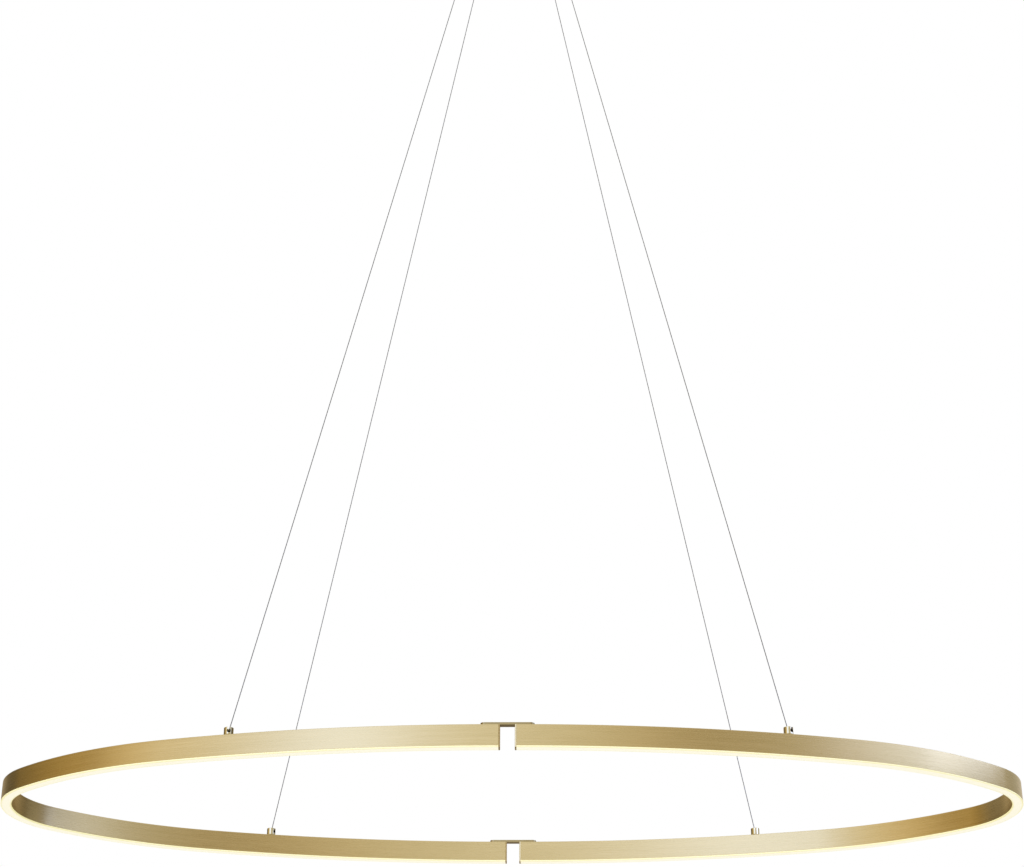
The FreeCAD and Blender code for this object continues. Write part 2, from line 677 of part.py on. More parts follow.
def locking_jaws(name, x_side, y_side):
    """Three tapered jaws that close on the cable as the spring pushes them down into the seat."""
    foot, height = size["jaw_foot"], size["jaw_height"]
    place = (x_side * size["gripper_x"], y_side * size["gripper_y"], foot - size["canopy_height"])
    radii = {"Radius1": taper_radius(foot) - size["jaw_slip"],
             "Radius2": taper_radius(foot + height) - size["jaw_slip"]}
    solids = []
    for number in range(3):
        wedge = doc.addObject("Part::Cone", f"jaw_blank_{name}_{number + 1}")
        for path, value in {**radii, "Height": height, "Angle": size["jaw_spread"]}.items():
            setattr(wedge, path, value.number)
            bind(wedge, path, value)
        move(wedge, *place, 120 * number)
        bore = cylinder(f"jaw_bore_{name}_{number + 1}", size["jaw_bore"], height, *place)
        solids.append(cut(f"jaw_{name}_{number + 1}", wedge, bore))
    group(f"locking_jaws_{name}", solids)


def plunger_spring(name, x_side, y_side):
    """Coil spring of square wire between the jaws and the barrel's lid."""
    body = new_body(f"plunger_spring_{name}")
    wire = size["spring_wire"]
    low = size["jaw_foot"] + size["jaw_height"] + size["spring_gap"] + wire / 2
    high = size["gripper_barrel_height"] - size["gripper_lid"] - size["spring_gap"] - wire / 2
    section = new_sketch(body, "wire_section", "XZ_Plane")
    middle = size["spring_diameter"] / 2
    draw_box(section, middle - wire / 2, low - wire / 2, middle + wire / 2, low + wire / 2)
    coil = body.newObject("PartDesign::AdditiveHelix", "coil")
    coil.Profile = section
    coil.ReferenceAxis = (section, ["V_Axis"])
    coil.Mode = "height-turns-angle"
    coil.Height, coil.Turns = (high - low).number, size["spring_turns"].number
    bind(coil, "Height", high - low)
    bind(coil, "Turns", size["spring_turns"])
    doc.recompute()
    at_gripper(body, x_side, y_side)


def canopy_cup():
    """Round ceiling cup with a flat floor, four gripper holes and two holes for its side screws."""
    body = new_body("canopy_cup")
    outer, wall = size["canopy_diameter"] / 2, size["canopy_wall"]
    bottom = -size["canopy_height"]
    shell = revolve(body, [(0, bottom), (outer, bottom), (outer, 0), (outer - wall, 0),
                           (outer - wall, canopy_floor), (0, canopy_floor)], "shell")
    eased = dress(body, "Chamfer", shell, lambda e: abs(e.CenterOfMass.z - bottom.number) < 1e-6
                  and abs(e.Length - 2 * math.pi * outer.number) < 1e-3, size["canopy_edge"], "lower_edge")
    body.Tip = eased
    studs = new_sketch(body, "driver_stud_outline", "XY_Plane", canopy_floor)
    for x_side in (-1, 1):
        draw_circle(studs, x_side * size["driver_stud_x"], 0, size["driver_stud_diameter"])
    pad(body, studs, size["driver_stud_height"], "driver_studs")
    holes = new_sketch(body, "gripper_hole_outline", "XY_Plane", canopy_floor)
    for x_side, y_side in corners.values():
        draw_circle(holes, x_side * size["gripper_x"], y_side * size["gripper_y"],
                    size["gripper_barrel_diameter"] + 2 * size["gripper_hole_slip"])
    pocket(body, holes, 2 * wall, "gripper_holes")
    side = new_sketch(body, "side_hole_outline", "YZ_Plane")
    draw_circle(side, 0, -size["side_screw_drop"], size["side_screw_diameter"] + 2 * size["screw_slip"])
    pocket(body, side, size["canopy_diameter"] + wall, "side_holes", both_ways=True)


# The bracket's tabs stop just short of the cup's wall at their corners
cup_inside = size["canopy_diameter"] / 2 - size["canopy_wall"] - size["strap_slip"]
tab_x = root(cup_inside * cup_inside - size["strap_width"] * size["strap_width"] / 4)


def ceiling_bracket():
    """Steel strap against the ceiling, bent down at both ends to hold the cup's side screws."""
    body = new_body("ceiling_bracket")
    thick, drop = size["strap_thickness"], -size["tab_drop"]
    outline = new_sketch(body, "strap_outline", "XZ_Plane")
    draw_outline(outline, [(-tab_x, drop), (-tab_x, 0), (tab_x, 0), (tab_x, drop),
                           (tab_x - thick, drop), (tab_x - thick, -thick), (thick - tab_x, -thick),
                           (thick - tab_x, drop)])
    strap = pad(body, outline, size["strap_width"], "strap", both_ways=True)
    bend = dress(body, "Fillet", strap,
                 lambda e: abs(e.Length - size["strap_width"].number) < 1e-6
                 and abs(e.CenterOfMass.z) < 1e-6, size["bend_radius"], "outer_bends")
    inner = dress(body, "Fillet", bend,
                  lambda e: abs(e.Length - size["strap_width"].number) < 1e-6
                  and abs(e.CenterOfMass.z + thick.number) < 1e-6,
                  size["bend_radius"] - thick, "inner_bends")
    body.Tip = inner
    slots = new_sketch(body, "fixing_slot_outline", "XY_Plane")
    for x_side in (-1, 1):
        draw_slot(slots, x_side * size["fixing_spacing"] / 2, 0,
                  size["fixing_slot_length"], size["fixing_slot_width"])
    pocket(body, slots, 2 * thick, "fixing_slots")
    side = new_sketch(body, "tab_hole_outline", "YZ_Plane")
    draw_circle(side, 0, -size["side_screw_drop"], size["side_screw_diameter"] + 2 * size["thread_gap"])
    pocket(body, side, 2 * tab_x + thick, "tab_holes", both_ways=True)


def canopy_screws():
    """Two screws that hold the cup to the bracket's tabs."""
    solids = []
    for x_side in (-1, 1):
        start = size["canopy_diameter"] / 2 + size["thread_gap"]
        turn = FreeCAD.Rotation(FreeCAD.Vector(0, 0, 1), FreeCAD.Vector(x_side, 0, 0))
        pieces = []
        for part, diameter, length, begin in (
                ("shank", size["side_screw_diameter"], size["side_screw_length"],
                 start - size["side_screw_length"]),
                ("head", size["side_screw_head_diameter"], size["side_screw_head_height"], start)):
            piece = cylinder(f"side_{part}_{'left' if x_side < 0 else 'right'}", diameter, length,
                             x_side * begin, 0, -size["side_screw_drop"])
            piece.Placement = FreeCAD.Placement(piece.Placement.Base, turn)
            pieces.append(piece)
        solids.append(fuse(f"side_screw_{'left' if x_side < 0 else 'right'}", *pieces))
    group("canopy_screws", solids)


def power_supply():
    """Constant-voltage supply on the canopy's floor, held at its two ears."""
    body = new_body("power_supply")
    long, wide = size["driver_length"] / 2, size["driver_width"] / 2
    case = new_sketch(body, "case_outline", "XY_Plane")
    draw_box(case, -long, -wide, long, wide)
    block = pad(body, case, size["driver_height"], "case")
    rounded = dress(body, "Fillet", block,
                    lambda e: abs(e.Length - size["driver_height"].number) < 1e-6,
                    size["driver_corner"], "case_corners")
    body.Tip = rounded
    ears = new_sketch(body, "ear_outline", "XY_Plane")
    reach, half = long + size["driver_ear_length"], size["driver_ear_width"] / 2
    draw_box(ears, -reach, -half, reach, half)
    pad(body, ears, size["driver_ear_thickness"], "ears")
    holes = new_sketch(body, "ear_hole_outline", "XY_Plane", size["driver_ear_thickness"])
    for x_side in (-1, 1):
        draw_circle(holes, x_side * size["driver_stud_x"], 0,
                    size["driver_stud_diameter"] + 2 * size["screw_slip"])
    pocket(body, holes, 2 * size["driver_ear_thickness"], "ear_holes")
    move(body, z=canopy_floor)


def terminal_block():
    """Three-way block for the supply wires."""
    body = new_body("terminal_block")
    long, wide = size["terminal_length"] / 2, size["terminal_width"] / 2
    outline = new_sketch(body, "block_outline", "XY_Plane")
    draw_box(outline, -long, -wide, long, wide)
    pad(body, outline, size["terminal_height"], "block")
    screws = new_sketch(body, "screw_hole_outline", "XY_Plane", size["terminal_height"])
    wires = new_sketch(body, "wire_hole_outline", "XZ_Plane", -wide)
    for number in (-1, 0, 1):
        draw_circle(screws, number * size["terminal_pitch"], 0, size["terminal_screw_hole"])
        draw_circle(wires, number * size["terminal_pitch"], size["terminal_wire_height"],
                    size["terminal_wire_hole"])
    pocket(body, screws, size["terminal_screw_depth"], "screw_holes")
    pocket(body, wires, size["terminal_wire_depth"], "wire_holes", reverse=True)
    move(body, 0, size["terminal_y"], canopy_floor)


# Ceiling end
ceiling_bracket()
canopy_cup()
canopy_screws()
power_supply()
nut_group("driver_nuts", size["driver_nut_flats"], size["driver_nut_height"], size["driver_stud_diameter"],
          [(x_side * size["driver_stud_x"], 0, canopy_floor + size["driver_ear_thickness"])
           for x_side in (-1, 1)])
terminal_block()
nut_group("gripper_nuts", size["gripper_nut_flats"], size["gripper_nut_height"],
          size["gripper_barrel_diameter"],
          [(x_side * size["gripper_x"], y_side * size["gripper_y"], canopy_floor)
           for x_side, y_side in corners.values()])
for corner, sides in corners.items():
    gripper_body(corner, *sides)
    release_plunger(corner, *sides)
    locking_jaws(corner, *sides)
    plunger_spring(corner, *sides)
cable_tails()

# Cables
for corner, sides in corners.items():
    suspension_cable(corner, *sides)
    ball_terminal(corner, *sides)

# Ring
for half, x_way in (("left", -1), ("right", 1)):
    profile(f"profile_{half}", x_way)
    diffuser(f"diffuser_{half}", x_way)
    light_board(f"light_board_{half}", x_way)
for corner, sides in corners.items():
    end_cap(f"end_cap_{corner}", *sides)
    cable_holder(f"cable_holder_{corner}", *sides, size[f"keyhole_{corner}"])
bridge_plate("bridge_plate_front", -1)
bridge_plate("bridge_plate_back", 1)
bridge_screws()
holder_insulators()
nut_group("holder_nuts", size["stud_nut_flats"], size["stud_nut_height"], size["stud_diameter"],
          [(x_side * size["holder_x"], y_side * holder_y,
            ring_z + chamber_high - size["washer_thickness"] - size["stud_nut_height"])
           for x_side, y_side in corners.values()])
contact_pins()
doc.recompute()

# Check every object, then write each piece to its own file
for item in doc.Objects:
    if "Invalid" in item.State or "Error" in item.State:
        raise ValueError(f"{item.Label} failed: {item.State}")
for node in nodes:
    shape = node.Shape
    if shape.isNull() or not shape.isValid() or not shape.Solids:
        raise ValueError(f"{node.Label} has no valid solid")
for node in nodes:
    node.Shape.exportStep(f"parts/{node.Label}.step")
whole = Part.makeCompound([node.Shape for node in nodes]).BoundBox
print(f"{len(nodes)} pieces, {whole.XLength:.1f} by {whole.YLength:.1f} by {whole.ZLength:.1f} mm")
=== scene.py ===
# %% [markdown]
# # An oval ring pendant lamp
# Two bent gold light channels make an oval that hangs level on four thin steel cables. The cables
# run up to grippers in the floor of a round ceiling canopy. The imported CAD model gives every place
# and size, in metres, with the origin on the ceiling. This file dresses it, piece by piece.

# %% Load the frame
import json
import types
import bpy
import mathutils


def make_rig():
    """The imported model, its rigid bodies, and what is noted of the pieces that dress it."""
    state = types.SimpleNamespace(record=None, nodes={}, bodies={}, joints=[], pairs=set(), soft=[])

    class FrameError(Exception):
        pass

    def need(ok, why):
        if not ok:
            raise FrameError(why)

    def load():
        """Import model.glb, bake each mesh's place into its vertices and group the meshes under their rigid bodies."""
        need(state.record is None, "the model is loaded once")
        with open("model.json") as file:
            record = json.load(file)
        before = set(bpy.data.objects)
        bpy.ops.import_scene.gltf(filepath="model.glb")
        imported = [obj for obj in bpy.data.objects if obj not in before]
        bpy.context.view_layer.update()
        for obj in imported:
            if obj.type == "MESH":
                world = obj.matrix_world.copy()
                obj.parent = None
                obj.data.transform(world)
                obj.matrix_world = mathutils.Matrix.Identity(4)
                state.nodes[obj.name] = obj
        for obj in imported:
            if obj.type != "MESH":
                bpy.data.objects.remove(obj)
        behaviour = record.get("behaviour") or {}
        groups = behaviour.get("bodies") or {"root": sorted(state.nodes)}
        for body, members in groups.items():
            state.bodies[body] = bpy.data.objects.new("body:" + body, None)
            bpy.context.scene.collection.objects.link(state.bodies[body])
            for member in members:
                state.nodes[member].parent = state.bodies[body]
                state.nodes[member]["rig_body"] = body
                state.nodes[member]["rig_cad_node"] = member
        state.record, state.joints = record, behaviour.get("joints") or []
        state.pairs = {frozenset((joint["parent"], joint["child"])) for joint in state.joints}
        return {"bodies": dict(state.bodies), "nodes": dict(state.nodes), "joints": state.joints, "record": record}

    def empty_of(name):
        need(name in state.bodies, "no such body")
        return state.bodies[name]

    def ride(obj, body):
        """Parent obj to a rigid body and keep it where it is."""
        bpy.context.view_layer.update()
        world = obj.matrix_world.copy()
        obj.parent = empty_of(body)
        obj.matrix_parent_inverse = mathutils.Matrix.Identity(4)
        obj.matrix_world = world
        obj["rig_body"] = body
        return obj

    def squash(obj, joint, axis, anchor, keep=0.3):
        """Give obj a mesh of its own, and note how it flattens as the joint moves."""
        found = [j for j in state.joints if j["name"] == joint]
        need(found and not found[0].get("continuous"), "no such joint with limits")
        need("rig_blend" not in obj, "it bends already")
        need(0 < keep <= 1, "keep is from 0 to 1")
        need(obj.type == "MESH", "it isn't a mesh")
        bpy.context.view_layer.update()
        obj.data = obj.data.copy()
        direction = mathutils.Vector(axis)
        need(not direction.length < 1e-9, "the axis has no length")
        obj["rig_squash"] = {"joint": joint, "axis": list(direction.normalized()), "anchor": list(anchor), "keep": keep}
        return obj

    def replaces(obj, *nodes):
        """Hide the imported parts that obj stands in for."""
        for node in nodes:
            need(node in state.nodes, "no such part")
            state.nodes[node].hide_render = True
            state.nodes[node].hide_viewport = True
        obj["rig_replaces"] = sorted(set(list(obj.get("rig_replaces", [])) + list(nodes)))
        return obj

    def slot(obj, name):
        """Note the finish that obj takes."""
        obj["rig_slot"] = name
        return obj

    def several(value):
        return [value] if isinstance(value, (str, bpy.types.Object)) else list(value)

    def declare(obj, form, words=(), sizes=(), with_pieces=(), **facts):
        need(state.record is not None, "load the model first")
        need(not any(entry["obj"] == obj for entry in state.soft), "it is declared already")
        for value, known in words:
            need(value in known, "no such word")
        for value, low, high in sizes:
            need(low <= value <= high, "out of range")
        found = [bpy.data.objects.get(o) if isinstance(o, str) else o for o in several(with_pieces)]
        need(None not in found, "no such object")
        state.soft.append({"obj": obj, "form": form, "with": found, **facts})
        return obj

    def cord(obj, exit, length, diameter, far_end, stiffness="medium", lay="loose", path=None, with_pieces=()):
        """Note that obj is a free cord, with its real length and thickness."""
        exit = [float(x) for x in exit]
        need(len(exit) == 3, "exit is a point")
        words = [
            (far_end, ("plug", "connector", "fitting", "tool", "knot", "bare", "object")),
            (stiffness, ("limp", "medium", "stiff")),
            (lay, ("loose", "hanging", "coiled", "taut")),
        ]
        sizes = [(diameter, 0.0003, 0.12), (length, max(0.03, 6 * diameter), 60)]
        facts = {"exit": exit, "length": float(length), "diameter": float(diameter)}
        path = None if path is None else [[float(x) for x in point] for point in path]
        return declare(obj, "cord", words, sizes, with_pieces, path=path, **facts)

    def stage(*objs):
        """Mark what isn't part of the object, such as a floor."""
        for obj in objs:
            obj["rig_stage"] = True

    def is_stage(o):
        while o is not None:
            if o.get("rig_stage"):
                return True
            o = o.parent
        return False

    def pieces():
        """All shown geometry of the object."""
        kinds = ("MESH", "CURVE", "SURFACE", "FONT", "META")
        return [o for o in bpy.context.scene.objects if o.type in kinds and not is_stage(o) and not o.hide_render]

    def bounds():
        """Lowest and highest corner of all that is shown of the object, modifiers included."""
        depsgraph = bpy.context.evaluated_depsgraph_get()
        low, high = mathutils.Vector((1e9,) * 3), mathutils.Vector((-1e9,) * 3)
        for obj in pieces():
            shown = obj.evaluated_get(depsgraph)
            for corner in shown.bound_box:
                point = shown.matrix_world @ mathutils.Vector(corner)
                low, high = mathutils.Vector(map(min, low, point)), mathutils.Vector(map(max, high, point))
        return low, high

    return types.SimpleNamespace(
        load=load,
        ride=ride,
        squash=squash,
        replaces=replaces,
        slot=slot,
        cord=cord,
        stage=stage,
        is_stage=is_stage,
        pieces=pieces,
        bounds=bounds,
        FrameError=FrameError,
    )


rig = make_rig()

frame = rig.load()

import json
import math

import bmesh
import bpy
from mathutils import Matrix, Vector

cad_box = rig.bounds()
print("nodes in the frame:", len(frame["nodes"]))

# %% [markdown]
# ## The camera
# The lamp was photographed from below and in front, through a long lens. The place, the lens and
# the three angles come from fitting a pinhole camera to the edges of the two arcs and to the
# cables. A camera looks along its own -Z, so its matrix is built from the right, up and back axes.

# %% Camera
camera_place = (0.0410, -2.6862, -2.3592)
heading, pitch, roll = 0.01527, 0.46388, 0.00411
forward = Vector((-math.sin(heading) * math.cos(pitch), math.cos(heading) * math.cos(pitch),
                  math.sin(pitch)))
level = Vector((math.cos(heading), math.sin(heading), 0))
upward = level.cross(forward)
right = level * math.cos(roll) + upward * math.sin(roll)
above = upward * math.cos(roll) - level * math.sin(roll)
camera = bpy.data.objects.new("camera", bpy.data.cameras.new("camera"))
camera.data.lens, camera.data.sensor_width, camera.data.sensor_fit = 73.04, 36, "HORIZONTAL"
camera.matrix_world = (Matrix.Translation(camera_place)
                       @ Matrix((right, above, -forward)).transposed().to_4x4())
bpy.context.scene.collection.objects.link(camera)
bpy.context.scene.camera = camera
print("camera looks up by", round(math.degrees(pitch), 1), "degrees")

# %% [markdown]
# ## A short way to write node trees
# Materials and Geometry Nodes are both networks of nodes. One small class wraps a socket, so that
# `1 - mask * 0.5` adds the Math nodes it needs, and `node` adds any other kind. The same class
# serves both sorts of tree.

# %% Sockets as numbers
class Wire:
    """An output socket that can stand in a sum, or any place of a tree to add nodes to."""

    def __init__(self, tree, socket=None):
        self.tree, self.socket = tree, socket

    def node(self, kind, settings=(), inputs=(), output=0):
        """Add a node: its settings first, then the values or links of its sockets."""
        made = self.tree.nodes.new(kind)
        for name, value in dict(settings).items():
            if name == "stops":
                stops = made.color_ramp.elements
                stops.remove(stops[1])
                for number, (place, colour) in enumerate(value):
                    stop = stops.new(place) if number else stops[0]
                    stop.position, stop.color = place, (*colour, 1)
            elif name == "interpolation":
                made.color_ramp.interpolation = value
            else:
                setattr(made, name, value)
        for name, value in dict(inputs).items():
            if isinstance(value, Wire):
                self.tree.links.new(value.socket, made.inputs[name])
            else:
                made.inputs[name].default_value = value
        return Wire(self.tree, made.outputs[output] if len(made.outputs) else None)

    def math(self, operation, *values):
        return self.node("ShaderNodeMath", {"operation": operation}, enumerate(values))

    def out(self, name):
        """Another output of the same node."""
        return Wire(self.tree, self.socket.node.outputs[name])

    def __add__(self, other): return self.math("ADD", self, other)
    def __sub__(self, other): return self.math("SUBTRACT", self, other)
    def __rsub__(self, other): return self.math("SUBTRACT", other, self)
    def __mul__(self, other): return self.math("MULTIPLY", self, other)
    def __truediv__(self, other): return self.math("DIVIDE", self, other)
    def __pow__(self, other): return self.math("POWER", self, other)
    def __lt__(self, other): return self.math("LESS_THAN", self, other)
    def __gt__(self, other): return self.math("GREATER_THAN", self, other)
    __radd__, __rmul__ = __add__, __mul__

    def step(self, low, high):
        """0 below low, 1 above high and smooth between."""
        return self.node("ShaderNodeMapRange", {"interpolation_type": "SMOOTHSTEP"},
                         {"Value": self, "From Min": low, "From Max": high})

    def tint(self, first, second):
        """A colour between two colours, by this number."""
        return self.node("ShaderNodeMix", {"data_type": "RGBA"},
                         {0: self, 6: first if isinstance(first, Wire) else (*first, 1),
                          7: second if isinstance(second, Wire) else (*second, 1)}, 2)


def new_material(name):
    material = bpy.data.materials.new(name)
    material.use_nodes = True
    material.node_tree.nodes.clear()
    return material, Wire(material.node_tree)


# %% Geometry Nodes made in the script
def new_tree(name, **sockets):
    """A geometry tree with named inputs, and one wire for each of them."""
    tree = bpy.data.node_groups.new(name, "GeometryNodeTree")
    tree.interface.new_socket("Geometry", in_out="INPUT", socket_type="NodeSocketGeometry")
    for label, kind in sockets.items():
        tree.interface.new_socket(label, in_out="INPUT", socket_type="NodeSocket" + kind)
    tree.interface.new_socket("Geometry", in_out="OUTPUT", socket_type="NodeSocketGeometry")
    start = tree.nodes.new("NodeGroupInput")
    wires = {label: Wire(tree, start.outputs[label]) for label in sockets}
    return Wire(tree, start.outputs["Geometry"]), wires


def close_tree(shape, material):
    """Every tree ends in real geometry that has its material."""
    solid = shape.node("GeometryNodeRealizeInstances", (), {"Geometry": shape})
    painted = shape.node("GeometryNodeSetMaterial", (), {"Geometry": solid, "Material": material})
    shape.node("NodeGroupOutput", (), {"Geometry": painted})
    return shape.tree


def as_curve(mesh):
    return mesh.node("GeometryNodeMeshToCurve", (), {"Mesh": mesh})


def swept(curve, section, caps=True):
    """A section carried along a curve."""
    return curve.node("GeometryNodeCurveToMesh", (),
                      {"Curve": curve, "Profile Curve": section, "Fill Caps": caps})


def new_piece(name, mesh):
    piece = bpy.data.objects.new(name, mesh)
    bpy.context.scene.collection.objects.link(piece)
    return piece


def grow(name, tree, mesh, **sizes):
    """Run a tree on a mesh once and keep the result as a plain mesh."""
    piece = new_piece(name, mesh)
    modifier = piece.modifiers.new("grow", "NODES")
    modifier.node_group = tree
    for item in tree.interface.items_tree:
        if item.in_out == "INPUT" and item.name in sizes:
            modifier[item.identifier] = sizes[item.name]
    return settle(piece)


def settle(piece):
    """Turn a piece with modifiers into a plain mesh."""
    graph = bpy.context.evaluated_depsgraph_get()
    mesh = bpy.data.meshes.new_from_object(piece.evaluated_get(graph), depsgraph=graph,
                                           preserve_all_data_layers=True)
    piece.modifiers.clear()
    piece.data = mesh
    mesh.name = piece.name
    return piece


def stand_for(piece, body, slot, *nodes):
    """Let a piece take the place of CAD nodes, with their slot, on their body."""
    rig.replaces(piece, *nodes)
    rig.slot(piece, slot)
    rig.ride(piece, body)
    print(piece.name, len(piece.data.polygons), "faces")
    return piece


def outline_mesh(name, points, closed=True, **marks):
    """A drawn section as a mesh of edges. Its points run anticlockwise, as across and rise. A
    path lays a section's Y downwards, so the rise is turned over. Marks are more numbers."""
    mesh = bpy.data.meshes.new(name)
    points = list(points)[::-1]
    count = len(points)
    edges = [(i, (i + 1) % count) for i in range(count if closed else count - 1)]
    mesh.from_pydata([(x, -y, 0) for x, y in points], edges, [])
    numbers = {"across": [x for x, _ in points], "rise": [y for _, y in points]}
    numbers.update({label: list(values)[::-1] for label, values in marks.items()})
    for label, values in numbers.items():
        mesh.attributes.new(label, "FLOAT", "POINT").data.foreach_set("value", values)
    return mesh


def rounded(corners, steps=4, hold=0.00025):
    """Round the corners of a closed outline. Each corner is x, y and a radius, 0 for a sharp one.
    A point is added on the flat at each side of an arc, so that smooth shading keeps flats flat."""
    points = []
    for i, (x, y, radius) in enumerate(corners):
        here = Vector((x, y))
        if not radius:
            points.append((x, y))
            continue
        back = (Vector(corners[i - 1][:2]) - here).normalized()
        on = (Vector(corners[(i + 1) % len(corners)][:2]) - here).normalized()
        half = back.angle(on) / 2
        reach = radius / math.tan(half)
        middle = here + (back + on).normalized() * (radius / math.sin(half))
        first, last = here + back * reach - middle, here + on * reach - middle
        points.append(tuple(here + back * (reach + hold)))
        for k in range(steps + 1):
            points.append(tuple(middle + first.slerp(last, k / steps).normalized() * radius))
        points.append(tuple(here + on * (reach + hold)))
    return points


print("tree helpers are ready")

# %% [markdown]
# ## The room
# Polished and satin metal shows its surroundings more than its own colour, so the light comes from
# the world: a broad pale front, a narrow soft box a little left of the camera, dark sides, and a
# few narrow dark cards, which give polished parts their contrast. The list gives direction round
# the upright axis, in degrees from the front towards the right, then brightness and coolness. Four
# lamps stand in for what was near enough to slide along the ring as one follows it: a soft wall and
# two cool cards on the right, and a small warm card on the left. A large soft key, which metal
# doesn't show, comes on top. The camera alone sees white.

# %% World
surroundings = [
    (-180, 0.46, -0.4), (-166, 0.25, -0.8), (-150, 0.42, -0.45), (-128, 0.13, -0.5),
    (-108, 0.11, -0.5), (-98, 0.18, -0.9), (-80, 0.35, -1.0), (-71, 0.44, -0.9),
    (-66, 0.26, -0.8), (-61, 0.64, -0.65), (-46, 0.82, -0.3), (-34, 0.98, 0.1),
    (-26, 1.30, 1.1), (-22, 1.90, 1.5), (-16, 1.70, 1.3), (-12, 1.08, 0.4),
    (-5, 0.98, 0.1), (9, 0.81, 0.0), (15, 0.68, -0.5), (19, 0.27, -0.7),
    (30, 0.54, -0.25), (44, 0.57, -0.1), (56, 0.78, 0.4), (66, 0.82, 0.6),
    (74, 0.28, -0.1), (86, 0.08, -0.6), (98, 0.16, -0.65), (110, 0.11, -0.65),
    (128, 0.12, -0.5), (150, 0.34, -0.5), (166, 0.25, -0.8), (180, 0.46, -0.4)]


def studio_tone(brightness, coolness):
    """A brightness that is a little blue where it is cool and brown where it is warm."""
    if coolness > 0:
        return brightness * (1 - 0.12 * coolness), brightness, brightness * (1 + 0.5 * coolness)
    return brightness * (1 - 0.4 * coolness), brightness, brightness * (1 + 0.6 * coolness)


world = bpy.data.worlds.new("studio")
world.use_nodes = True
world.node_tree.nodes.clear()
pen = Wire(world.node_tree)
way = pen.node("ShaderNodeSeparateXYZ", (), {0: pen.node("ShaderNodeTexCoord", output="Generated")})
turn = way.math("ARCTAN2", way, 0 - way.out("Y")) / (2 * math.pi) + 0.5
stops = [(angle / 360 + 0.5, studio_tone(*tone)) for angle, *tone in surroundings]
walls = turn.node("ShaderNodeValToRGB", {"stops": stops}, {"Fac": turn})
room = way.out("Z").step(0.45, 0.9).tint(walls, (0.85, 0.86, 0.88))
behind_and_below = way.out("Y").step(0.72, 0.86) * way.out("Z").step(-0.28, -0.38)
room = behind_and_below.tint(room, (0.03, 0.022, 0.012))
seen = pen.node("ShaderNodeLightPath", output="Is Camera Ray").tint(room, (1, 1, 1))
light = pen.node("ShaderNodeBackground", (), {"Color": seen})
pen.node("ShaderNodeOutputWorld", (), {"Surface": light})
bpy.context.scene.world = world

# %% Floor and soft key light
floor_z = -5.2
floor_material, pen = new_material("pale_floor")
spot = pen.node("ShaderNodeTexCoord", output="Object")
reach = pen.node("ShaderNodeVectorMath", {"operation": "LENGTH"}, {0: spot}, "Value")
lit = pen.node("ShaderNodeBsdfDiffuse", (), {"Color": (0.82, 0.82, 0.81, 1)})
bare = pen.node("ShaderNodeEmission", (), {"Color": (1, 1, 1, 1)})
whiteness = 0.75 + reach.step(5.3, 6.8) * 0.25
whiteness = pen.node("ShaderNodeLightPath", output="Is Camera Ray") * whiteness
surface = pen.node("ShaderNodeMixShader", (), {0: whiteness, 1: lit, 2: bare})
pen.node("ShaderNodeOutputMaterial", (), {"Surface": surface})
floor_mesh = bpy.data.meshes.new("floor")
floor_plan = [(-8, -10), (8, -10), (8, 2.5), (-8, 2.5)]
floor_mesh.from_pydata([(x, y, floor_z) for x, y in floor_plan], [], [(0, 1, 2, 3)])
floor_mesh.materials.append(floor_material)
floor = new_piece("floor", floor_mesh)
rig.stage(floor)


def soft_box(name, place, target, width, height, watts, in_metal, tone=(1, 1, 1)):
    """A soft lamp that the camera doesn't see, and that metal reflects or not."""
    lamp = bpy.data.objects.new(name, bpy.data.lights.new(name, "AREA"))
    lamp.data.shape, lamp.data.size, lamp.data.size_y = "RECTANGLE", width, height
    lamp.location, lamp.data.color, lamp.data.energy = place, tone, watts
    lamp.rotation_euler = (Vector(target) - lamp.location).to_track_quat("-Z", "Y").to_euler()
    lamp.visible_camera, lamp.visible_glossy = False, in_metal
    bpy.context.scene.collection.objects.link(lamp)


pale_blue = (0.74, 0.95, 2.0)
soft_box("key", (-1.8, -2.6, 0.9), (0, 0, -1.2), 2.5, 2.0, 40, False)
soft_box("right_wall", (1.455, 0.30, -1.17), (0.66, 0.0, -1.56), 1.875, 0.375, 0.88, True,
         (0.95, 1.0, 1.06))
soft_box("right_card", (1.139, -0.229, -1.25), (0.55, -0.16, -1.56), 0.44, 0.25, 0.60, True,
         pale_blue)
soft_box("right_edge", (0.989, -0.632, -1.25), (0.50, -0.2, -1.56), 0.42, 0.25, 0.20, True,
         pale_blue)
soft_box("left_card", (-0.05, 0.36, -1.20), (0.62, 0.02, -1.56), 0.50, 0.25, 0.12, True,
         (1.0, 0.9, 0.8))
bpy.context.scene.view_settings.view_transform = "Standard"
print("directions in the room's light:", len(surroundings))

# %% [markdown]
# ## Metal finishes
# The channels are satin anodised aluminium in champagne gold. Drawing and brushing leave fine
# lengthwise lines, which spread the reflections and show as a faint grain. A noise texture that is
# stretched along the piece gives the lines, in colour, roughness and bump together.

# %% Materials of metal
def finish_with(material, pen, **sockets):
    """Close a material with a Principled BSDF. Socket names have _ for their blanks."""
    names = {label.replace("_", " "): value for label, value in sockets.items()}
    shader = pen.node("ShaderNodeBsdfPrincipled", (), names)
    pen.node("ShaderNodeOutputMaterial", (), {"Surface": shader})
    return material


def noise(pen, place, scale, detail=2.0, roughness=0.5):
    return pen.node("ShaderNodeTexNoise", (), {"Vector": place, "Scale": scale, "Detail": detail,
                                               "Roughness": roughness})


def combine(pen, x, y, z=0.0):
    return pen.node("ShaderNodeCombineXYZ", (), {"X": x, "Y": y, "Z": z})


def bump(pen, height, strength, distance):
    return pen.node("ShaderNodeBump", (), {"Height": height, "Strength": strength,
                                           "Distance": distance})


def object_place(pen):
    return pen.node("ShaderNodeTexCoord", output="Object")


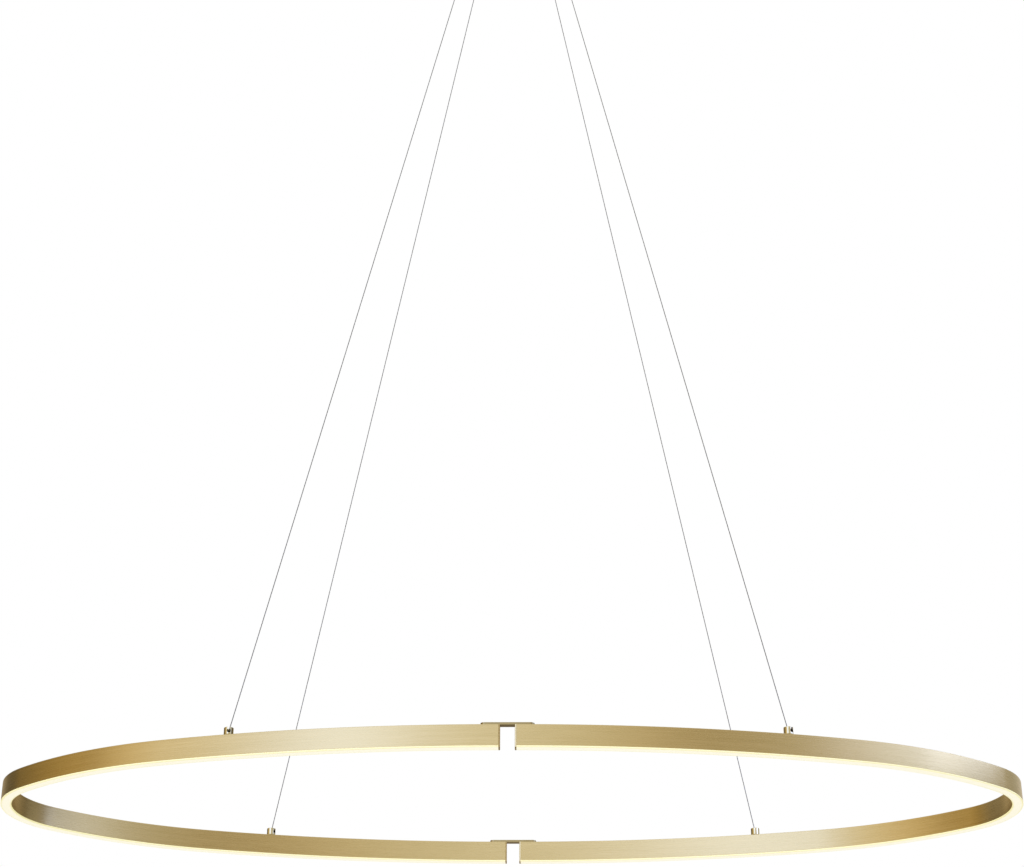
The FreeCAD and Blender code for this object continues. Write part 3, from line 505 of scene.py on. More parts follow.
def parts(pen):
    """X, Y and Z of a place on the object."""
    return pen.node("ShaderNodeSeparateXYZ", (), {0: object_place(pen)})


def own(pen, label):
    """A number that a swept piece carries at each of its points."""
    return pen.node("ShaderNodeAttribute", {"attribute_name": label}, output="Fac")


def satin(pen, along, across, aside=0.0):
    """Lines of 0.3 to 2 mm along the piece, and the tone, roughness and normal they give."""
    fine = noise(pen, combine(pen, along * 22, across * 2600, aside * 22), 1.0, 2.0, 0.6)
    broad = noise(pen, combine(pen, along * 5, across * 480, aside * 5 + 3.7), 1.0, 2.0)
    lines = fine * 0.65 + broad * 0.35
    tone = lines.step(0.3, 0.7).tint((0.63, 0.50, 0.235), (0.72, 0.575, 0.28))
    return tone, 0.20 + lines * 0.16, bump(pen, lines, 0.22, 0.0001)


swept_gold, pen = new_material("swept_gold")
tone, rough, normal = satin(pen, own(pen, "along"), own(pen, "across") + own(pen, "rise"))
finish_with(swept_gold, pen, Base_Color=tone, Metallic=1.0, Roughness=rough, Normal=normal)


def straight_satin(pen):
    """The same lines along X, for a straight piece."""
    spot = parts(pen)
    return satin(pen, spot, spot.out("Y") + spot.out("Z"))


flat_gold, pen = new_material("flat_gold")
tone, rough, normal = straight_satin(pen)
finish_with(flat_gold, pen, Base_Color=tone, Metallic=1.0, Roughness=rough, Normal=normal)

canopy_gold, pen = new_material("canopy_gold")
spot = parts(pen)
reach = (spot * spot + spot.out("Y") * spot.out("Y")) ** 0.5
# the two parts of the direction round the axis, not its angle, because an angle leaves a seam
tone, rough, normal = satin(pen, spot / reach * 0.05, reach + spot.out("Z"),
                            spot.out("Y") / reach * 0.05)
finish_with(canopy_gold, pen, Base_Color=tone, Metallic=1.0, Roughness=rough + 0.05, Normal=normal)


def turned_metal(name, colour, shade, roughness):
    """Smooth turned metal, with a slow cloud in its tone and gloss."""
    material, pen = new_material(name)
    cloud = noise(pen, object_place(pen), 160.0, 3.0)
    return finish_with(material, pen, Base_Color=cloud.step(0.35, 0.7).tint(shade, colour),
                       Metallic=1.0, Roughness=roughness + cloud * 0.04)


polished_brass = turned_metal("polished_brass", (0.80, 0.735, 0.50), (0.72, 0.64, 0.40), 0.045)
print("metal finishes are ready")

# %% [markdown]
# ## The cables
# Each cable is one taut run of 1.2 mm stainless steel strand, 1.523 m long, from the ball on its
# lower end up to its gripper. Six outer strands twist round it, one turn in 10 mm. The route is a
# NURBS curve. A Geometry Nodes tree resamples it, tilts it evenly along its length and sweeps a
# lobed section along it, which is how a twisted thing can be drawn without drawing each strand.

# %% Steel of the strands
strand_steel, pen = new_material("strand_steel")
groove = own(pen, "groove")
wear = noise(pen, object_place(pen), 900.0, 3.0)
# the grooves between the strands are painted much darker than the lobes: painted shade where the strands meet
shade = groove.step(0.2, 1.0).tint((0.38, 0.38, 0.37), (0.11, 0.107, 0.10))
finish_with(strand_steel, pen, Base_Color=shade, Metallic=1.0, Roughness=0.28 + wear * 0.18,
            Normal=bump(pen, wear, 0.15, 0.0001))

# %% Tree of a twisted cable
cable_shape, sizes = new_tree("twisted_cable", Section="Object", Spacing="Float", Lay="Float",
                              Material="Material")
route = as_curve(cable_shape)
route = route.node("GeometryNodeResampleCurve", {"mode": "LENGTH"},
                   {"Curve": route, "Length": sizes["Spacing"]})
gone = route.node("GeometryNodeSplineParameter", output="Length")
twist = gone / sizes["Lay"] * (2 * math.pi)
route = route.node("GeometryNodeSetCurveTilt", (), {"Curve": route, "Tilt": twist})
lobes = route.node("GeometryNodeObjectInfo", (), {"Object": sizes["Section"]}, "Geometry")
strand = swept(route, as_curve(lobes))
strand = strand.node("GeometryNodeSetShadeSmooth", (), {"Geometry": strand})
cable_tree = close_tree(strand, sizes["Material"])

# %% The four cables
corners = {"front_left": (-1, -1), "front_right": (1, -1), "back_left": (-1, 1),
           "back_right": (1, 1)}
holder_at = {corner: (x * 0.346, y * 0.224945) for corner, (x, y) in corners.items()}
gripper_at = {corner: (x * 0.042, y * 0.054) for corner, (x, y) in corners.items()}
holder_z, ball_rise, mouth_z, collar = -1.5444, 0.0046, -0.054, 0.0032
strand_radius, groove_depth = 0.0006, 0.00009

lobe_points, groove_shade = [], []
for k in range(24):
    around = math.radians(15 * k)
    depth = 1 - abs(math.sin(3 * around))
    reach = strand_radius - groove_depth * depth
    lobe_points.append((reach * math.cos(around), reach * math.sin(around)))
    groove_shade.append(depth)
lobe_section = new_piece("lobe_section", outline_mesh("lobe_section", lobe_points, groove=groove_shade))
strand_sizes = {"Section": lobe_section, "Spacing": 0.001, "Lay": 0.010,
                "Material": strand_steel}


def cable_ends(corner):
    """The centre of a cable's ball, and the mouth of its gripper."""
    return (Vector((*holder_at[corner], holder_z + ball_rise)),
            Vector((*gripper_at[corner], mouth_z)))


def smooth_route(name, points):
    """The points of a NURBS spline's own line."""
    curve = bpy.data.curves.new(name, "CURVE")
    curve.dimensions = "3D"
    spline = curve.splines.new("NURBS")
    spline.points.add(len(points) - 1)
    for point, place in zip(spline.points, points):
        point.co = (*place, 1)
    spline.order_u = 3
    spline.use_endpoint_u = True
    holder = new_piece(name, curve)
    line = bpy.data.meshes.new_from_object(holder)
    places = [tuple(v.co) for v in line.vertices]
    bpy.data.objects.remove(holder)
    return places


def polyline(name, places):
    mesh = bpy.data.meshes.new(name)
    mesh.from_pydata(places, [(i, i + 1) for i in range(len(places) - 1)], [])
    return mesh


for corner in corners:
    ball, mouth = cable_ends(corner)
    low_end = ball + (mouth - ball).normalized() * collar
    places = smooth_route("route_" + corner, [low_end, low_end.lerp(mouth, 0.5), mouth])
    cable = grow("cable_" + corner, cable_tree, polyline("route_" + corner, places), **strand_sizes)
    length = (mouth - low_end).length
    stand_for(cable, "canopy", "steel_cable", "suspension_cable_" + corner)
    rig.cord(cable, exit=tuple(mouth), length=length, diameter=0.0012, far_end="object",
            stiffness="medium", lay="taut", path=places[::-1])
    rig.squash(cable, "ring_height", axis=(0, 0, 1), anchor=(0, 0, mouth_z),
              keep=1 - 0.5 / (mouth_z - low_end.z))
    print(corner, "cable:", round(length, 4), "m")

# %% [markdown]
# ## The two light channels
# A channel is one straight aluminium extrusion, bent on a ring bender into half of the oval. Its
# line is five arcs that meet with a common tangent. The tree walks along them by the angle through
# which the line has turned: at every angle one centre and one radius are right. That puts as many
# points on the tight tip as on the long flank, which is what smooth shading needs. The section is
# then laid along the line, so length along it is known, and the grain can follow the bend.

# %% Tree of a bent strip
strip, sizes = new_tree(
    "bent_strip", Side="Float", Steps="Int", Gap="Float", Height="Float", Tip_radius="Float",
    Tip_x="Float", Tip_turn="Float", Shoulder_radius="Float", Shoulder_x="Float",
    Shoulder_y="Float", Shoulder_turn="Float", Flank_radius="Float", Flank_y="Float",
    Material="Material")
line = strip.node("GeometryNodeCurvePrimitiveLine", (), {"End": (1, 0, 0)})
line = strip.node("GeometryNodeResampleCurve", (), {"Curve": line, "Count": sizes["Steps"] + 1})
turned = (line.node("GeometryNodeInputIndex") / sizes["Steps"] - 0.5) * math.pi
away = turned.math("ABSOLUTE", turned)
half = turned.math("SIGN", turned)
on_tip, on_flank = away < sizes["Tip_turn"], away > sizes["Shoulder_turn"]
on_shoulder = 1 - on_tip - on_flank
radius = (on_tip * sizes["Tip_radius"] + on_shoulder * sizes["Shoulder_radius"]
          + on_flank * sizes["Flank_radius"])
centre_x = on_tip * sizes["Tip_x"] + on_shoulder * sizes["Shoulder_x"] + sizes["Gap"]
centre_y = on_shoulder * sizes["Shoulder_y"] + on_flank * sizes["Flank_y"]
spot_x = centre_x + radius * away.math("COSINE", away)
spot_y = half * (centre_y + radius * away.math("SINE", away))
spot = combine(line, spot_x * sizes["Side"], spot_y * sizes["Side"], sizes["Height"])
line = line.node("GeometryNodeSetPosition", (), {"Geometry": line, "Position": spot})
line = line.node("GeometryNodeSetCurveNormal", {"mode": "Z_UP"}, {"Curve": line})
gone = line.node("GeometryNodeSplineParameter", output="Length")
line = line.node("GeometryNodeStoreNamedAttribute", {"data_type": "FLOAT", "domain": "POINT"},
                 {"Geometry": line, "Name": "along", "Value": gone})
body = swept(line, as_curve(strip))
four_sided = body.node("GeometryNodeInputMeshFaceNeighbors", output="Vertex Count") < 4.5
body = body.node("GeometryNodeSetShadeSmooth", (), {"Geometry": body, "Shade Smooth": four_sided})
strip_tree = close_tree(body, sizes["Material"])

ring_z = -1.572
tip = (0.533822, 0.123178)
shoulder = (0.283622, -0.266835, 0.488966)
flank = (-1.230538, 1.493538)
arcs = {"Gap": 0.011, "Tip_radius": tip[1], "Tip_x": tip[0],
        "Tip_turn": math.atan2(0.089856, 0.618076 - tip[0]),
        "Shoulder_radius": shoulder[2], "Shoulder_x": shoulder[0], "Shoulder_y": shoulder[1],
        "Shoulder_turn": math.atan2(0.202238 - flank[0], 0.421672),
        "Flank_radius": flank[1], "Flank_y": flank[0]}


def bend(name, section, side, material):
    """Bend a section along one half of the oval: the left one for side -1, the right one for 1."""
    return grow(name, strip_tree, outline_mesh(name + "_section", rounded(section)),
                Side=float(side), Steps=360, Height=ring_z, Material=material, **arcs)


# %% Channels
lip, top = 0.00035, 0.0006
shell = [(0.007, 0, lip), (0.007, 0.027, top), (-0.007, 0.027, top), (-0.007, 0, lip),
         (-0.0055, 0, 0), (-0.0055, 0.014, 0), (0.0055, 0.014, 0), (0.0055, 0, 0)]
for side, name in ((-1, "left"), (1, "right")):
    channel = bend("channel_" + name, shell, side, swept_gold)
    stand_for(channel, "ring", "gold_aluminium", "profile_" + name)
    print("reach", round(max(abs(v.co.x) for v in channel.data.vertices), 4))

# %% [markdown]
# ## The opal covers
# An extruded opal acrylic cover closes the whole underside and clips into the channel with two
# legs. It stands 1.8 mm proud, so a warm line of light shows under the metal from the side. Opal
# acrylic glows most where the light comes straight through and is dimmer and warmer at its edges.

# %% Opal material and covers
opal, pen = new_material("opal")
across = own(pen, "across")
edge = across.math("ABSOLUTE", across).step(0.0040, 0.0072)
side_wall = (own(pen, "rise") * -1000).step(1.4, 0.2)
warmth = edge.math("MAXIMUM", edge, side_wall)
haze = noise(pen, combine(pen, own(pen, "along") * 14, across * 300), 1.0)
glow = warmth.tint((0.695, 0.675, 0.54), (0.60, 0.555, 0.20))
finish_with(opal, pen, Base_Color=haze.tint((0.55, 0.53, 0.47), (0.59, 0.57, 0.51)),
            Roughness=0.42, Emission_Color=glow, Emission_Strength=1.0)
cover = [(0.007, 0, 0), (-0.007, 0, 0), (-0.007, -0.0018, 0.0009), (0.007, -0.0018, 0.0009)]
inside = [(0.0054, 0, 0), (0.0054, 0.005, 0), (0.0042, 0.005, 0), (0.0042, 0, 0), (-0.0042, 0, 0),
          (-0.0042, 0.005, 0), (-0.0054, 0.005, 0), (-0.0054, 0, 0)]
cover = cover[:1] + inside + cover[1:]
for side, name in ((-1, "left"), (1, "right")):
    stand_for(bend("opal_cover_" + name, cover, side, opal), "ring", "opal_diffuser",
              "diffuser_" + name)

# %% [markdown]
# ## Small solids
# The remaining pieces are sawn, milled or turned. Three helpers cover them: an outline pushed up
# into a solid, a half section turned round an upright axis, and a soft edge. Machined parts never
# have truly sharp edges, and the thin highlight on the edge is what makes a render look like metal,
# so each of them gets a small bevel whose normals leave the flats flat.

# %% Pushed-up outlines, cuts and soft edges
def pushed_up(name, outline, low, high, material):
    """A solid from a closed outline in plan, drawn anticlockwise."""
    count = len(outline)
    mesh = bpy.data.meshes.new(name)
    faces = [tuple(range(count))[::-1], tuple(range(count, 2 * count))]
    faces += [(i, (i + 1) % count, count + (i + 1) % count, count + i) for i in range(count)]
    mesh.from_pydata([(x, y, z) for z in (low, high) for x, y in outline], [], faces)
    mesh.materials.append(material)
    return new_piece(name, mesh)


def cut_away(piece, *tools):
    """Take the tools' shapes out of a piece. The cut faces get the tool's material."""
    for tool in tools:
        cutter = piece.modifiers.new("cut", "BOOLEAN")
        cutter.operation, cutter.solver, cutter.object = "DIFFERENCE", "EXACT", tool
        cutter.material_mode = "TRANSFER"
    settle(piece)
    for tool in tools:
        bpy.data.objects.remove(tool)
    return piece


def soften(piece, width, steps=2, angle=40):
    """Round the edges a little and shade the piece smoothly, with its flats kept flat."""
    piece.data.shade_smooth()
    edge = piece.modifiers.new("edge", "BEVEL")
    edge.width, edge.segments, edge.limit_method = width, steps, "ANGLE"
    edge.angle_limit, edge.harden_normals, edge.use_clamp_overlap = math.radians(angle), True, True
    return settle(piece)


def circle(radius, sides):
    angles = [2 * math.pi * k / sides for k in range(sides)]
    return [(radius * math.cos(a), radius * math.sin(a)) for a in angles]


def arc(radius, step, count):
    """Points of an arc round the origin that starts at -90 degrees."""
    angles = [math.radians(-90 + step * k) for k in range(count)]
    return [(radius * math.cos(a), radius * math.sin(a)) for a in angles]


def rectangle(left, low, right, high):
    return [(left, low), (right, low), (right, high), (left, high)]


def joined(name, pieces):
    """Several pieces as one mesh."""
    whole = bmesh.new()
    materials = []
    for piece in pieces:
        for material in piece.data.materials:
            if material not in materials:
                materials.append(material)
        whole.from_mesh(piece.data)
        bpy.data.objects.remove(piece)
    mesh = bpy.data.meshes.new(name)
    whole.to_mesh(mesh)
    whole.free()
    for material in materials:
        mesh.materials.append(material)
    return new_piece(name, mesh)


def place(piece, x=0.0, y=0.0, z=0.0, turn=0.0):
    """Put a piece in its place within its own mesh, so that its object stays at the origin."""
    piece.data.transform(Matrix.Translation((x, y, z)) @ Matrix.Rotation(turn, 4, "Z"))
    return piece


def tip_over(piece, angle, spot):
    """Turn an upright piece about Y by an angle in degrees, then move it to a spot."""
    piece.data.transform(Matrix.Translation(spot) @ Matrix.Rotation(math.radians(angle), 4, "Y"))
    return piece


# %% Tree of a turned piece
lathe, sizes = new_tree("turned_piece", Sides="Int", Material="Material")
wheel_radius = 0.01
wheel = lathe.node("GeometryNodeCurvePrimitiveCircle", {"mode": "RADIUS"},
                   {"Resolution": sizes["Sides"], "Radius": wheel_radius})
wheel = wheel.node("GeometryNodeSetCurveNormal", {"mode": "Z_UP"}, {"Curve": wheel})
section = lathe.node("GeometryNodeTransform", (),
                     {"Geometry": as_curve(lathe), "Translation": (-wheel_radius, 0, 0)})
turned_shape = swept(wheel, section, False)
turned_shape = wheel.node("GeometryNodeMergeByDistance", (),
                          {"Geometry": turned_shape, "Distance": 0.000002})
lathe_tree = close_tree(turned_shape, sizes["Material"])


def turn_piece(name, section, material, sides=64, closed=True, edge=0.00012):
    """Turn a section of radius and height, drawn anticlockwise, and ease its edges."""
    piece = grow(name, lathe_tree, outline_mesh(name, section, closed), Sides=sides,
                 Material=material)
    return soften(piece, edge)


# %% [markdown]
# ## Ends of the channels
# Each channel end has a cap, cut from 2 mm plate, over the metal and the opal alike, so the light
# stops there. A tongue on its back runs into the upper chamber. Two gold straps, let down on top
# with countersunk screws that bite in the tongues, carry the halves across the gaps. The caps draw
# in a little towards the gap, so one of them catches the dark side of the room and the other the
# soft box.

# %% End caps
half_width = 0.263
cap_low, cap_top = ring_z - 0.0018, ring_z + 0.027
plate_plan = rounded([(0.009, -0.0066, 0.0004), (0.011, -0.007, 0), (0.011, 0.007, 0),
                      (0.009, 0.0066, 0.0004)], steps=6, hold=0.0001)
tongue_plan = [(0.0109, -0.005), (0.032, -0.005), (0.033, -0.004), (0.033, 0.004), (0.032, 0.005),
               (0.0109, 0.005)]
for corner, (x_side, y_side) in corners.items():
    plate = soften(pushed_up("cap_plate", plate_plan, cap_low, cap_top, flat_gold), 0.0002)
    tongue = pushed_up("cap_tongue", tongue_plan, ring_z + 0.01565, ring_z + 0.02435, flat_gold)
    cap = joined("end_plate_" + corner, [plate, soften(tongue, 0.0002)])
    place(cap, 0, y_side * half_width, 0, 0 if x_side > 0 else math.pi)
    stand_for(cap, "ring", "gold_aluminium", "end_cap_" + corner)

# %% Bridge straps
strap_gold, pen = new_material("strap_gold")
tone, rough, normal = straight_satin(pen)
# the straps take the same satin gold multiplied darker: painted shade over the straps
strap_shaded_tone = pen.node("ShaderNodeMix", {"data_type": "RGBA", "blend_type": "MULTIPLY"},
                  {0: 1.0, 6: tone, 7: (0.62, 0.62, 0.60, 1)}, 2)
finish_with(strap_gold, pen, Base_Color=strap_shaded_tone, Metallic=1.0, Roughness=rough, Normal=normal)
strap_low, strap_top = ring_z + 0.027, ring_z + 0.030
screw_x = (0.017, 0.027)
round_end = [(0.028 + x, y) for x, y in arc(0.005, 7.5, 25)]
strap_plan = round_end + [(-x, -y) for x, y in round_end]
countersink = [(0, strap_low - 0.001), (0.0017, strap_low - 0.001), (0.0017, strap_top - 0.00125),
               (0.00305, strap_top + 0.0001), (0, strap_top + 0.0001)]
for y_side, name in ((-1, "front"), (1, "back")):
    strap = pushed_up("strap_" + name, strap_plan, strap_low, strap_top, strap_gold)
    cut_away(strap, *[place(turn_piece("hole", countersink, flat_gold, 48, False, 0), x)
                      for x in (-screw_x[1], -screw_x[0], *screw_x)])
    soften(strap, 0.00045, 3)
    place(strap, 0, y_side * half_width)
    stand_for(strap, "ring", "gold_aluminium", "bridge_plate_" + name)

# %% Tree that puts one fastener at many points
fixings, sizes = new_tree("fasteners", Fastener="Object", Material="Material")
one = fixings.node("GeometryNodeObjectInfo", (), {"Object": sizes["Fastener"]}, "Geometry")
many = fixings.node("GeometryNodeInstanceOnPoints", (), {"Points": fixings, "Instance": one})
fastener_tree = close_tree(many, sizes["Material"])


def fasten(name, fastener, places, material):
    """Copies of one fastener at a list of places."""
    spots = bpy.data.meshes.new(name)
    spots.from_pydata(places, [], [])
    piece = grow(name, fastener_tree, spots, Fastener=fastener, Material=material)
    bpy.data.objects.remove(fastener)
    return piece


gold_steel = turned_metal("gold_steel", (0.66, 0.53, 0.29), (0.56, 0.44, 0.23), 0.215)
head_z = strap_top - 0.00005
screw = turn_piece("screw", [(0, head_z - 0.010), (0.0011, head_z - 0.010),
                             (0.0015, head_z - 0.0093), (0.0015, head_z - 0.0013),
                             (0.0028, head_z - 0.0001), (0.0028, head_z), (0, head_z)],
                   gold_steel, 48, False, 0.00008)
cut_away(screw, pushed_up("socket", circle(0.00116, 6), head_z - 0.0012, head_z + 0.001,
                          gold_steel))
screw_places = [(x * s, y * half_width, 0) for y in (-1, 1) for s in (-1, 1) for x in screw_x]
screws = fasten("strap_screws", screw, screw_places, gold_steel)
stand_for(screws, "ring", "gold_screw", "bridge_screws")

# %% [markdown]
# ## Cable holders
# A turned and polished brass post stands on the channel over each quarter. A bore from the side
# lets the cable's ball in, a slot lets the cable follow it up, and the ball then sits in the neck.
# The post is turned first, then a ball-ended drill and a slot are taken out of it, in Blender as in
# the workshop. One drill shape is better than a cylinder and a sphere, whose faces would coincide.
# The faces of the cut are painted dark brown and the ball near-black: painted shade in the keyhole.

# %% Holders with their keyholes
# the walls of the bore and the slot are dark brown brass: painted shade inside the keyhole
bored_brass = turned_metal("bored_brass", (0.30, 0.21, 0.11), (0.22, 0.155, 0.08), 0.375)
keyholes = {"front_left": -80, "front_right": -47, "back_left": -25, "back_right": 100}
holder_section = rounded([
    (0, -0.0086, 0), (0.0018, -0.0086, 0), (0.002, -0.0083, 0), (0.002, 0, 0),
    (0.0056, 0, 0.00015), (0.006, 0.0004, 0.00015), (0.006, 0.0091, 0.00015),
    (0.0056, 0.0095, 0.00015), (0.0028, 0.0095, 0.00012), (0.00195, 0.0071, 0),
    (0.00195, ball_rise, 0), (0, ball_rise, 0)], steps=3, hold=0.00005)
drill_radius, slot_half = 0.0025, 0.0011
ball_drill = arc(drill_radius, 7.5, 13) + [(drill_radius, 0.012), (0, 0.012)]
for corner in corners:
    post = grow("holder_" + corner, lathe_tree,
                outline_mesh("holder_section", holder_section, False), Sides=96,
                Material=polished_brass)
    drill = turn_piece("ball_drill", ball_drill, bored_brass, 48, False, 0)
    tip_over(drill, 90, (0, 0, ball_rise))
    slot = pushed_up("slot", rectangle(0, -slot_half, 0.007, slot_half), ball_rise, 0.0105,
                     bored_brass)
    cut_away(post, drill, slot)
    # the section's own corners are round, so the edges that are left, those of the cut, stay crisp
    post.data.shade_smooth()
    post.data.set_sharp_from_angle(angle=math.radians(30))
    place(post, *holder_at[corner], holder_z, math.radians(keyholes[corner]))
    stand_for(post, "ring", "polished_brass", "cable_holder_" + corner)

# %% Ball ends of the cables
# the balls are painted near-black steel: painted shade for the dark inside of the keyhole
ball_steel = turned_metal("ball_steel", (0.042, 0.040, 0.038), (0.030, 0.029, 0.027), 0.355)
ball_section = arc(0.0023, 9, 18) + [(0.00085, 0.0022), (0.00085, 0.0031), (0.00075, 0.0032),
                                     (0.00055, 0.0032), (0.00055, 0.0030), (0, 0.0030)]
for corner in corners:
    ball, mouth = cable_ends(corner)
    end = turn_piece("ball_end_" + corner, ball_section, ball_steel, 40, False, 0.00005)
    lean = (mouth - ball).to_track_quat("Z", "Y").to_matrix().to_4x4()
    end.data.transform(Matrix.Translation(ball) @ lean)
    stand_for(end, "terminal_" + corner, "steel_cable", "ball_terminal_" + corner)

# %% [markdown]
# ## The canopy
# A spun cup, 180 mm across, hides the ceiling box. It is turned from its section, with the four
# gripper holes drilled through its floor, and it carries the same gold as the ring. Two screws in
# its side hold it to the strap on the ceiling.

# %% Canopy cup
canopy_floor, side_screw_z = -0.045, -0.010
cup_section = rounded([(0, canopy_floor, 0), (0.090, canopy_floor, 0.0019), (0.090, 0, 0.0003),
                       (0.0885, 0, 0.0003), (0.0885, -0.0435, 0.0006), (0, -0.0435, 0)],
                      steps=6, hold=0.0004)
cup = grow("canopy_shell", lathe_tree, outline_mesh("cup_section", cup_section, False), Sides=160,
           Material=canopy_gold)
drills = [place(pushed_up("drill", circle(0.0051, 40), -0.047, -0.041, canopy_gold), *spot)
          for spot in gripper_at.values()]
for side in (-1, 1):
    drill = pushed_up("side_drill", circle(0.0022, 32), -0.004, 0.004, canopy_gold)
    drills.append(tip_over(drill, 90, (side * 0.0893, 0, side_screw_z)))
cut_away(cup, *drills)
soften(cup, 0.00012, 1, 50)
stud_section = [(0.0001, -0.0436), (0.0015, -0.0436), (0.0015, -0.0378), (0.0013, -0.0375),
                (0.0001, -0.0375)]
studs = [place(turn_piece("stud", stud_section, canopy_gold, 32), side * 0.058) for side in (-1, 1)]
stand_for(joined("canopy_cup_finished", [cup, *studs]), "canopy", "canopy_gold", "canopy_cup")

# %% Side screws of the canopy
side_screws = []
side_screw_section = [(0, -0.0055), (0.0017, -0.0055), (0.002, -0.0051), (0.002, 0), (0.0040, 0),
                      (0.0040, 0.0013), (0.0036, 0.0019), (0.0029, 0.0023), (0.0016, 0.0025),
                      (0, 0.0025)]
for side in (-1, 1):
    screw = turn_piece("side_screw", side_screw_section, gold_steel, 56, False, 0.0001)
    cut_away(screw, pushed_up("hex", circle(0.00145, 6), 0.0006, 0.004, gold_steel))
    side_screws.append(tip_over(screw, 90 * side, (side * 0.090, 0, side_screw_z)))
stand_for(joined("side_screws", side_screws), "canopy", "gold_screw", "canopy_screws")

# %% [markdown]
# ## Cable grippers
# Four threaded brass grippers pass through the canopy's floor, each held by a nut. Inside the
# barrel three tapered jaws close on the cable, and a spring keeps them down. Pushing the knob up
# lets the cable run, which is how the height is set. The thread is drawn as rings, one per pitch,
# because at this size it can't be told from a real helix.

# %% Gripper barrels and nuts
nickel = turned_metal("nickel", (0.64, 0.61, 0.55), (0.56, 0.53, 0.47), 0.175)
crest, root, half_pitch = 0.0050, 0.00462, 0.0005
thread = [(root if k % 2 else crest, 0.0006 + half_pitch * k) for k in range(42)]
barrel = [(0.0018, -0.002), (0.0071, -0.002), (0.0075, -0.0016), (0.0075, 0), (0.0048, 0), *thread,
          (0.0046, 0.022), (0.001, 0.022), (0.001, 0.020), (0.0037, 0.020), (0.0037, 0.012),
          (0.0022, 0.004), (0.0018, 0.004)]
for corner in corners:
    body = turn_piece("gripper_" + corner, barrel, polished_brass, 64, True, 0.00008)
    place(body, *gripper_at[corner], canopy_floor)
    stand_for(body, "canopy", "polished_brass", "gripper_body_" + corner)
flats, nut_height = 0.014, 0.003
rim = flats / 2 + 0.02 * flats
widest = rim + 0.3 * nut_height
nut = pushed_up("nut", circle(flats / math.sqrt(3), 6), 0, nut_height, nickel)
# a nut's corners are turned off at both faces, so it is shared with a turned shape
turned_off = turn_piece("turned_off", [
    (0, -0.0001), (rim - 0.0001, -0.0001), (widest, 0.3 * nut_height),
    (widest, 0.7 * nut_height), (rim - 0.0001, nut_height + 0.0001), (0, nut_height + 0.0001)],
    nickel, 60, False, 0)
shared = nut.modifiers.new("turned_off", "BOOLEAN")
shared.operation, shared.solver, shared.object = "INTERSECT", "EXACT", turned_off
settle(nut)
bpy.data.objects.remove(turned_off)
cut_away(nut, pushed_up("bore", circle(0.0101 / 2, 40), -0.001, nut_height + 0.001, nickel))
nuts = fasten("barrel_nuts", soften(nut, 0.0001, 1),
              [(*spot, -0.0435) for spot in gripper_at.values()], nickel)
stand_for(nuts, "canopy", "nickel_brass", "gripper_nuts")

# %% Release plungers
plunger_section = [
    (0.0009, -0.008), (0.0016, -0.009), (0.0029, -0.009), (0.0032, -0.0087), (0.0032, -0.0063),
    (0.0029, -0.006), (0.00172, -0.006), (0.00172, 0.0047), (0.00245, 0.0047), (0.00245, 0.0055),
    (0.0009, 0.0055)]
flute_depth, flutes = 0.045, 18
for corner in corners:
    plunger = turn_piece("plunger_" + corner, plunger_section, polished_brass, 72, True, 0)
    for v in plunger.data.vertices:
        if math.hypot(v.co.x, v.co.y) > 0.0030 and v.co.z < -0.004:
            hollow = 0.5 - 0.5 * math.cos(flutes * math.atan2(v.co.y, v.co.x))
            flute = 1 - flute_depth * hollow
            v.co.x, v.co.y = v.co.x * flute, v.co.y * flute
    soften(plunger, 0.00008)
    place(plunger, *gripper_at[corner], canopy_floor)
    stand_for(plunger, "plunger_" + corner, "polished_brass", "release_plunger_" + corner)

# %% Tree of a coil and the four springs
coil, sizes = new_tree("coil", Turns="Float", Radius="Float", Height="Float", Wire="Float",
                       Material="Material")
helix = coil.node("GeometryNodeCurveSpiral", (), {
    "Resolution": 32, "Rotations": sizes["Turns"], "Start Radius": sizes["Radius"],
    "End Radius": sizes["Radius"], "Height": sizes["Height"]})
round_wire = coil.node("GeometryNodeCurvePrimitiveCircle", {"mode": "RADIUS"},
                       {"Resolution": 12, "Radius": sizes["Wire"] / 2})
wound = swept(helix, round_wire)
wound = wound.node("GeometryNodeSetShadeSmooth", (), {"Geometry": wound})
coil_tree = close_tree(wound, sizes["Material"])
spring_steel = turned_metal("spring_steel", (0.50, 0.50, 0.51), (0.40, 0.40, 0.41), 0.235)
for corner in corners:
    spring = grow("spring_" + corner, coil_tree, bpy.data.meshes.new("spring"), Turns=3.0,
                  Radius=0.0026, Height=0.0083, Wire=0.0006, Material=spring_steel)
    place(spring, *gripper_at[corner], canopy_floor + 0.01135)
    stand_for(spring, "canopy", "spring_steel", "plunger_spring_" + corner)
    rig.squash(spring, "release_" + corner, axis=(0, 0, 1),
              anchor=(*gripper_at[corner], -0.02505), keep=1 - 0.0025 / 0.0089)

# %% Cable tails above the grippers
tail_low, tail_top = -0.05385, -0.011
tails = [grow("tail", cable_tree, polyline("tail", [(*spot, tail_low), (*spot, tail_top)]),
              **strand_sizes) for spot in gripper_at.values()]
bpy.data.objects.remove(lobe_section)
stand_for(joined("tails", tails), "canopy", "steel_cable", "cable_tails")

# %% [markdown]
# ## Pieces that keep their CAD shape
# The ceiling strap, the power supply, the terminal block and the small parts inside are flat-sided
# or hidden, so the CAD solid is already right. The three that show from above get a merged copy
# with softened edges. All of them get materials of their own.

# %% Plastics and plated steel
def moulded(name, colour, shade, roughness=0.45, grain=2600.0):
    """Moulded plastic: spark-eroded grain, and a slow change of tone."""
    material, pen = new_material(name)
    at = object_place(pen)
    skin = noise(pen, at, grain, 2.0)
    cloud = noise(pen, at, 45.0, 3.0)
    return finish_with(material, pen, Base_Color=cloud.step(0.3, 0.7).tint(shade, colour),
                       Roughness=roughness + skin * 0.1, Normal=bump(pen, skin, 0.25, 0.00008))


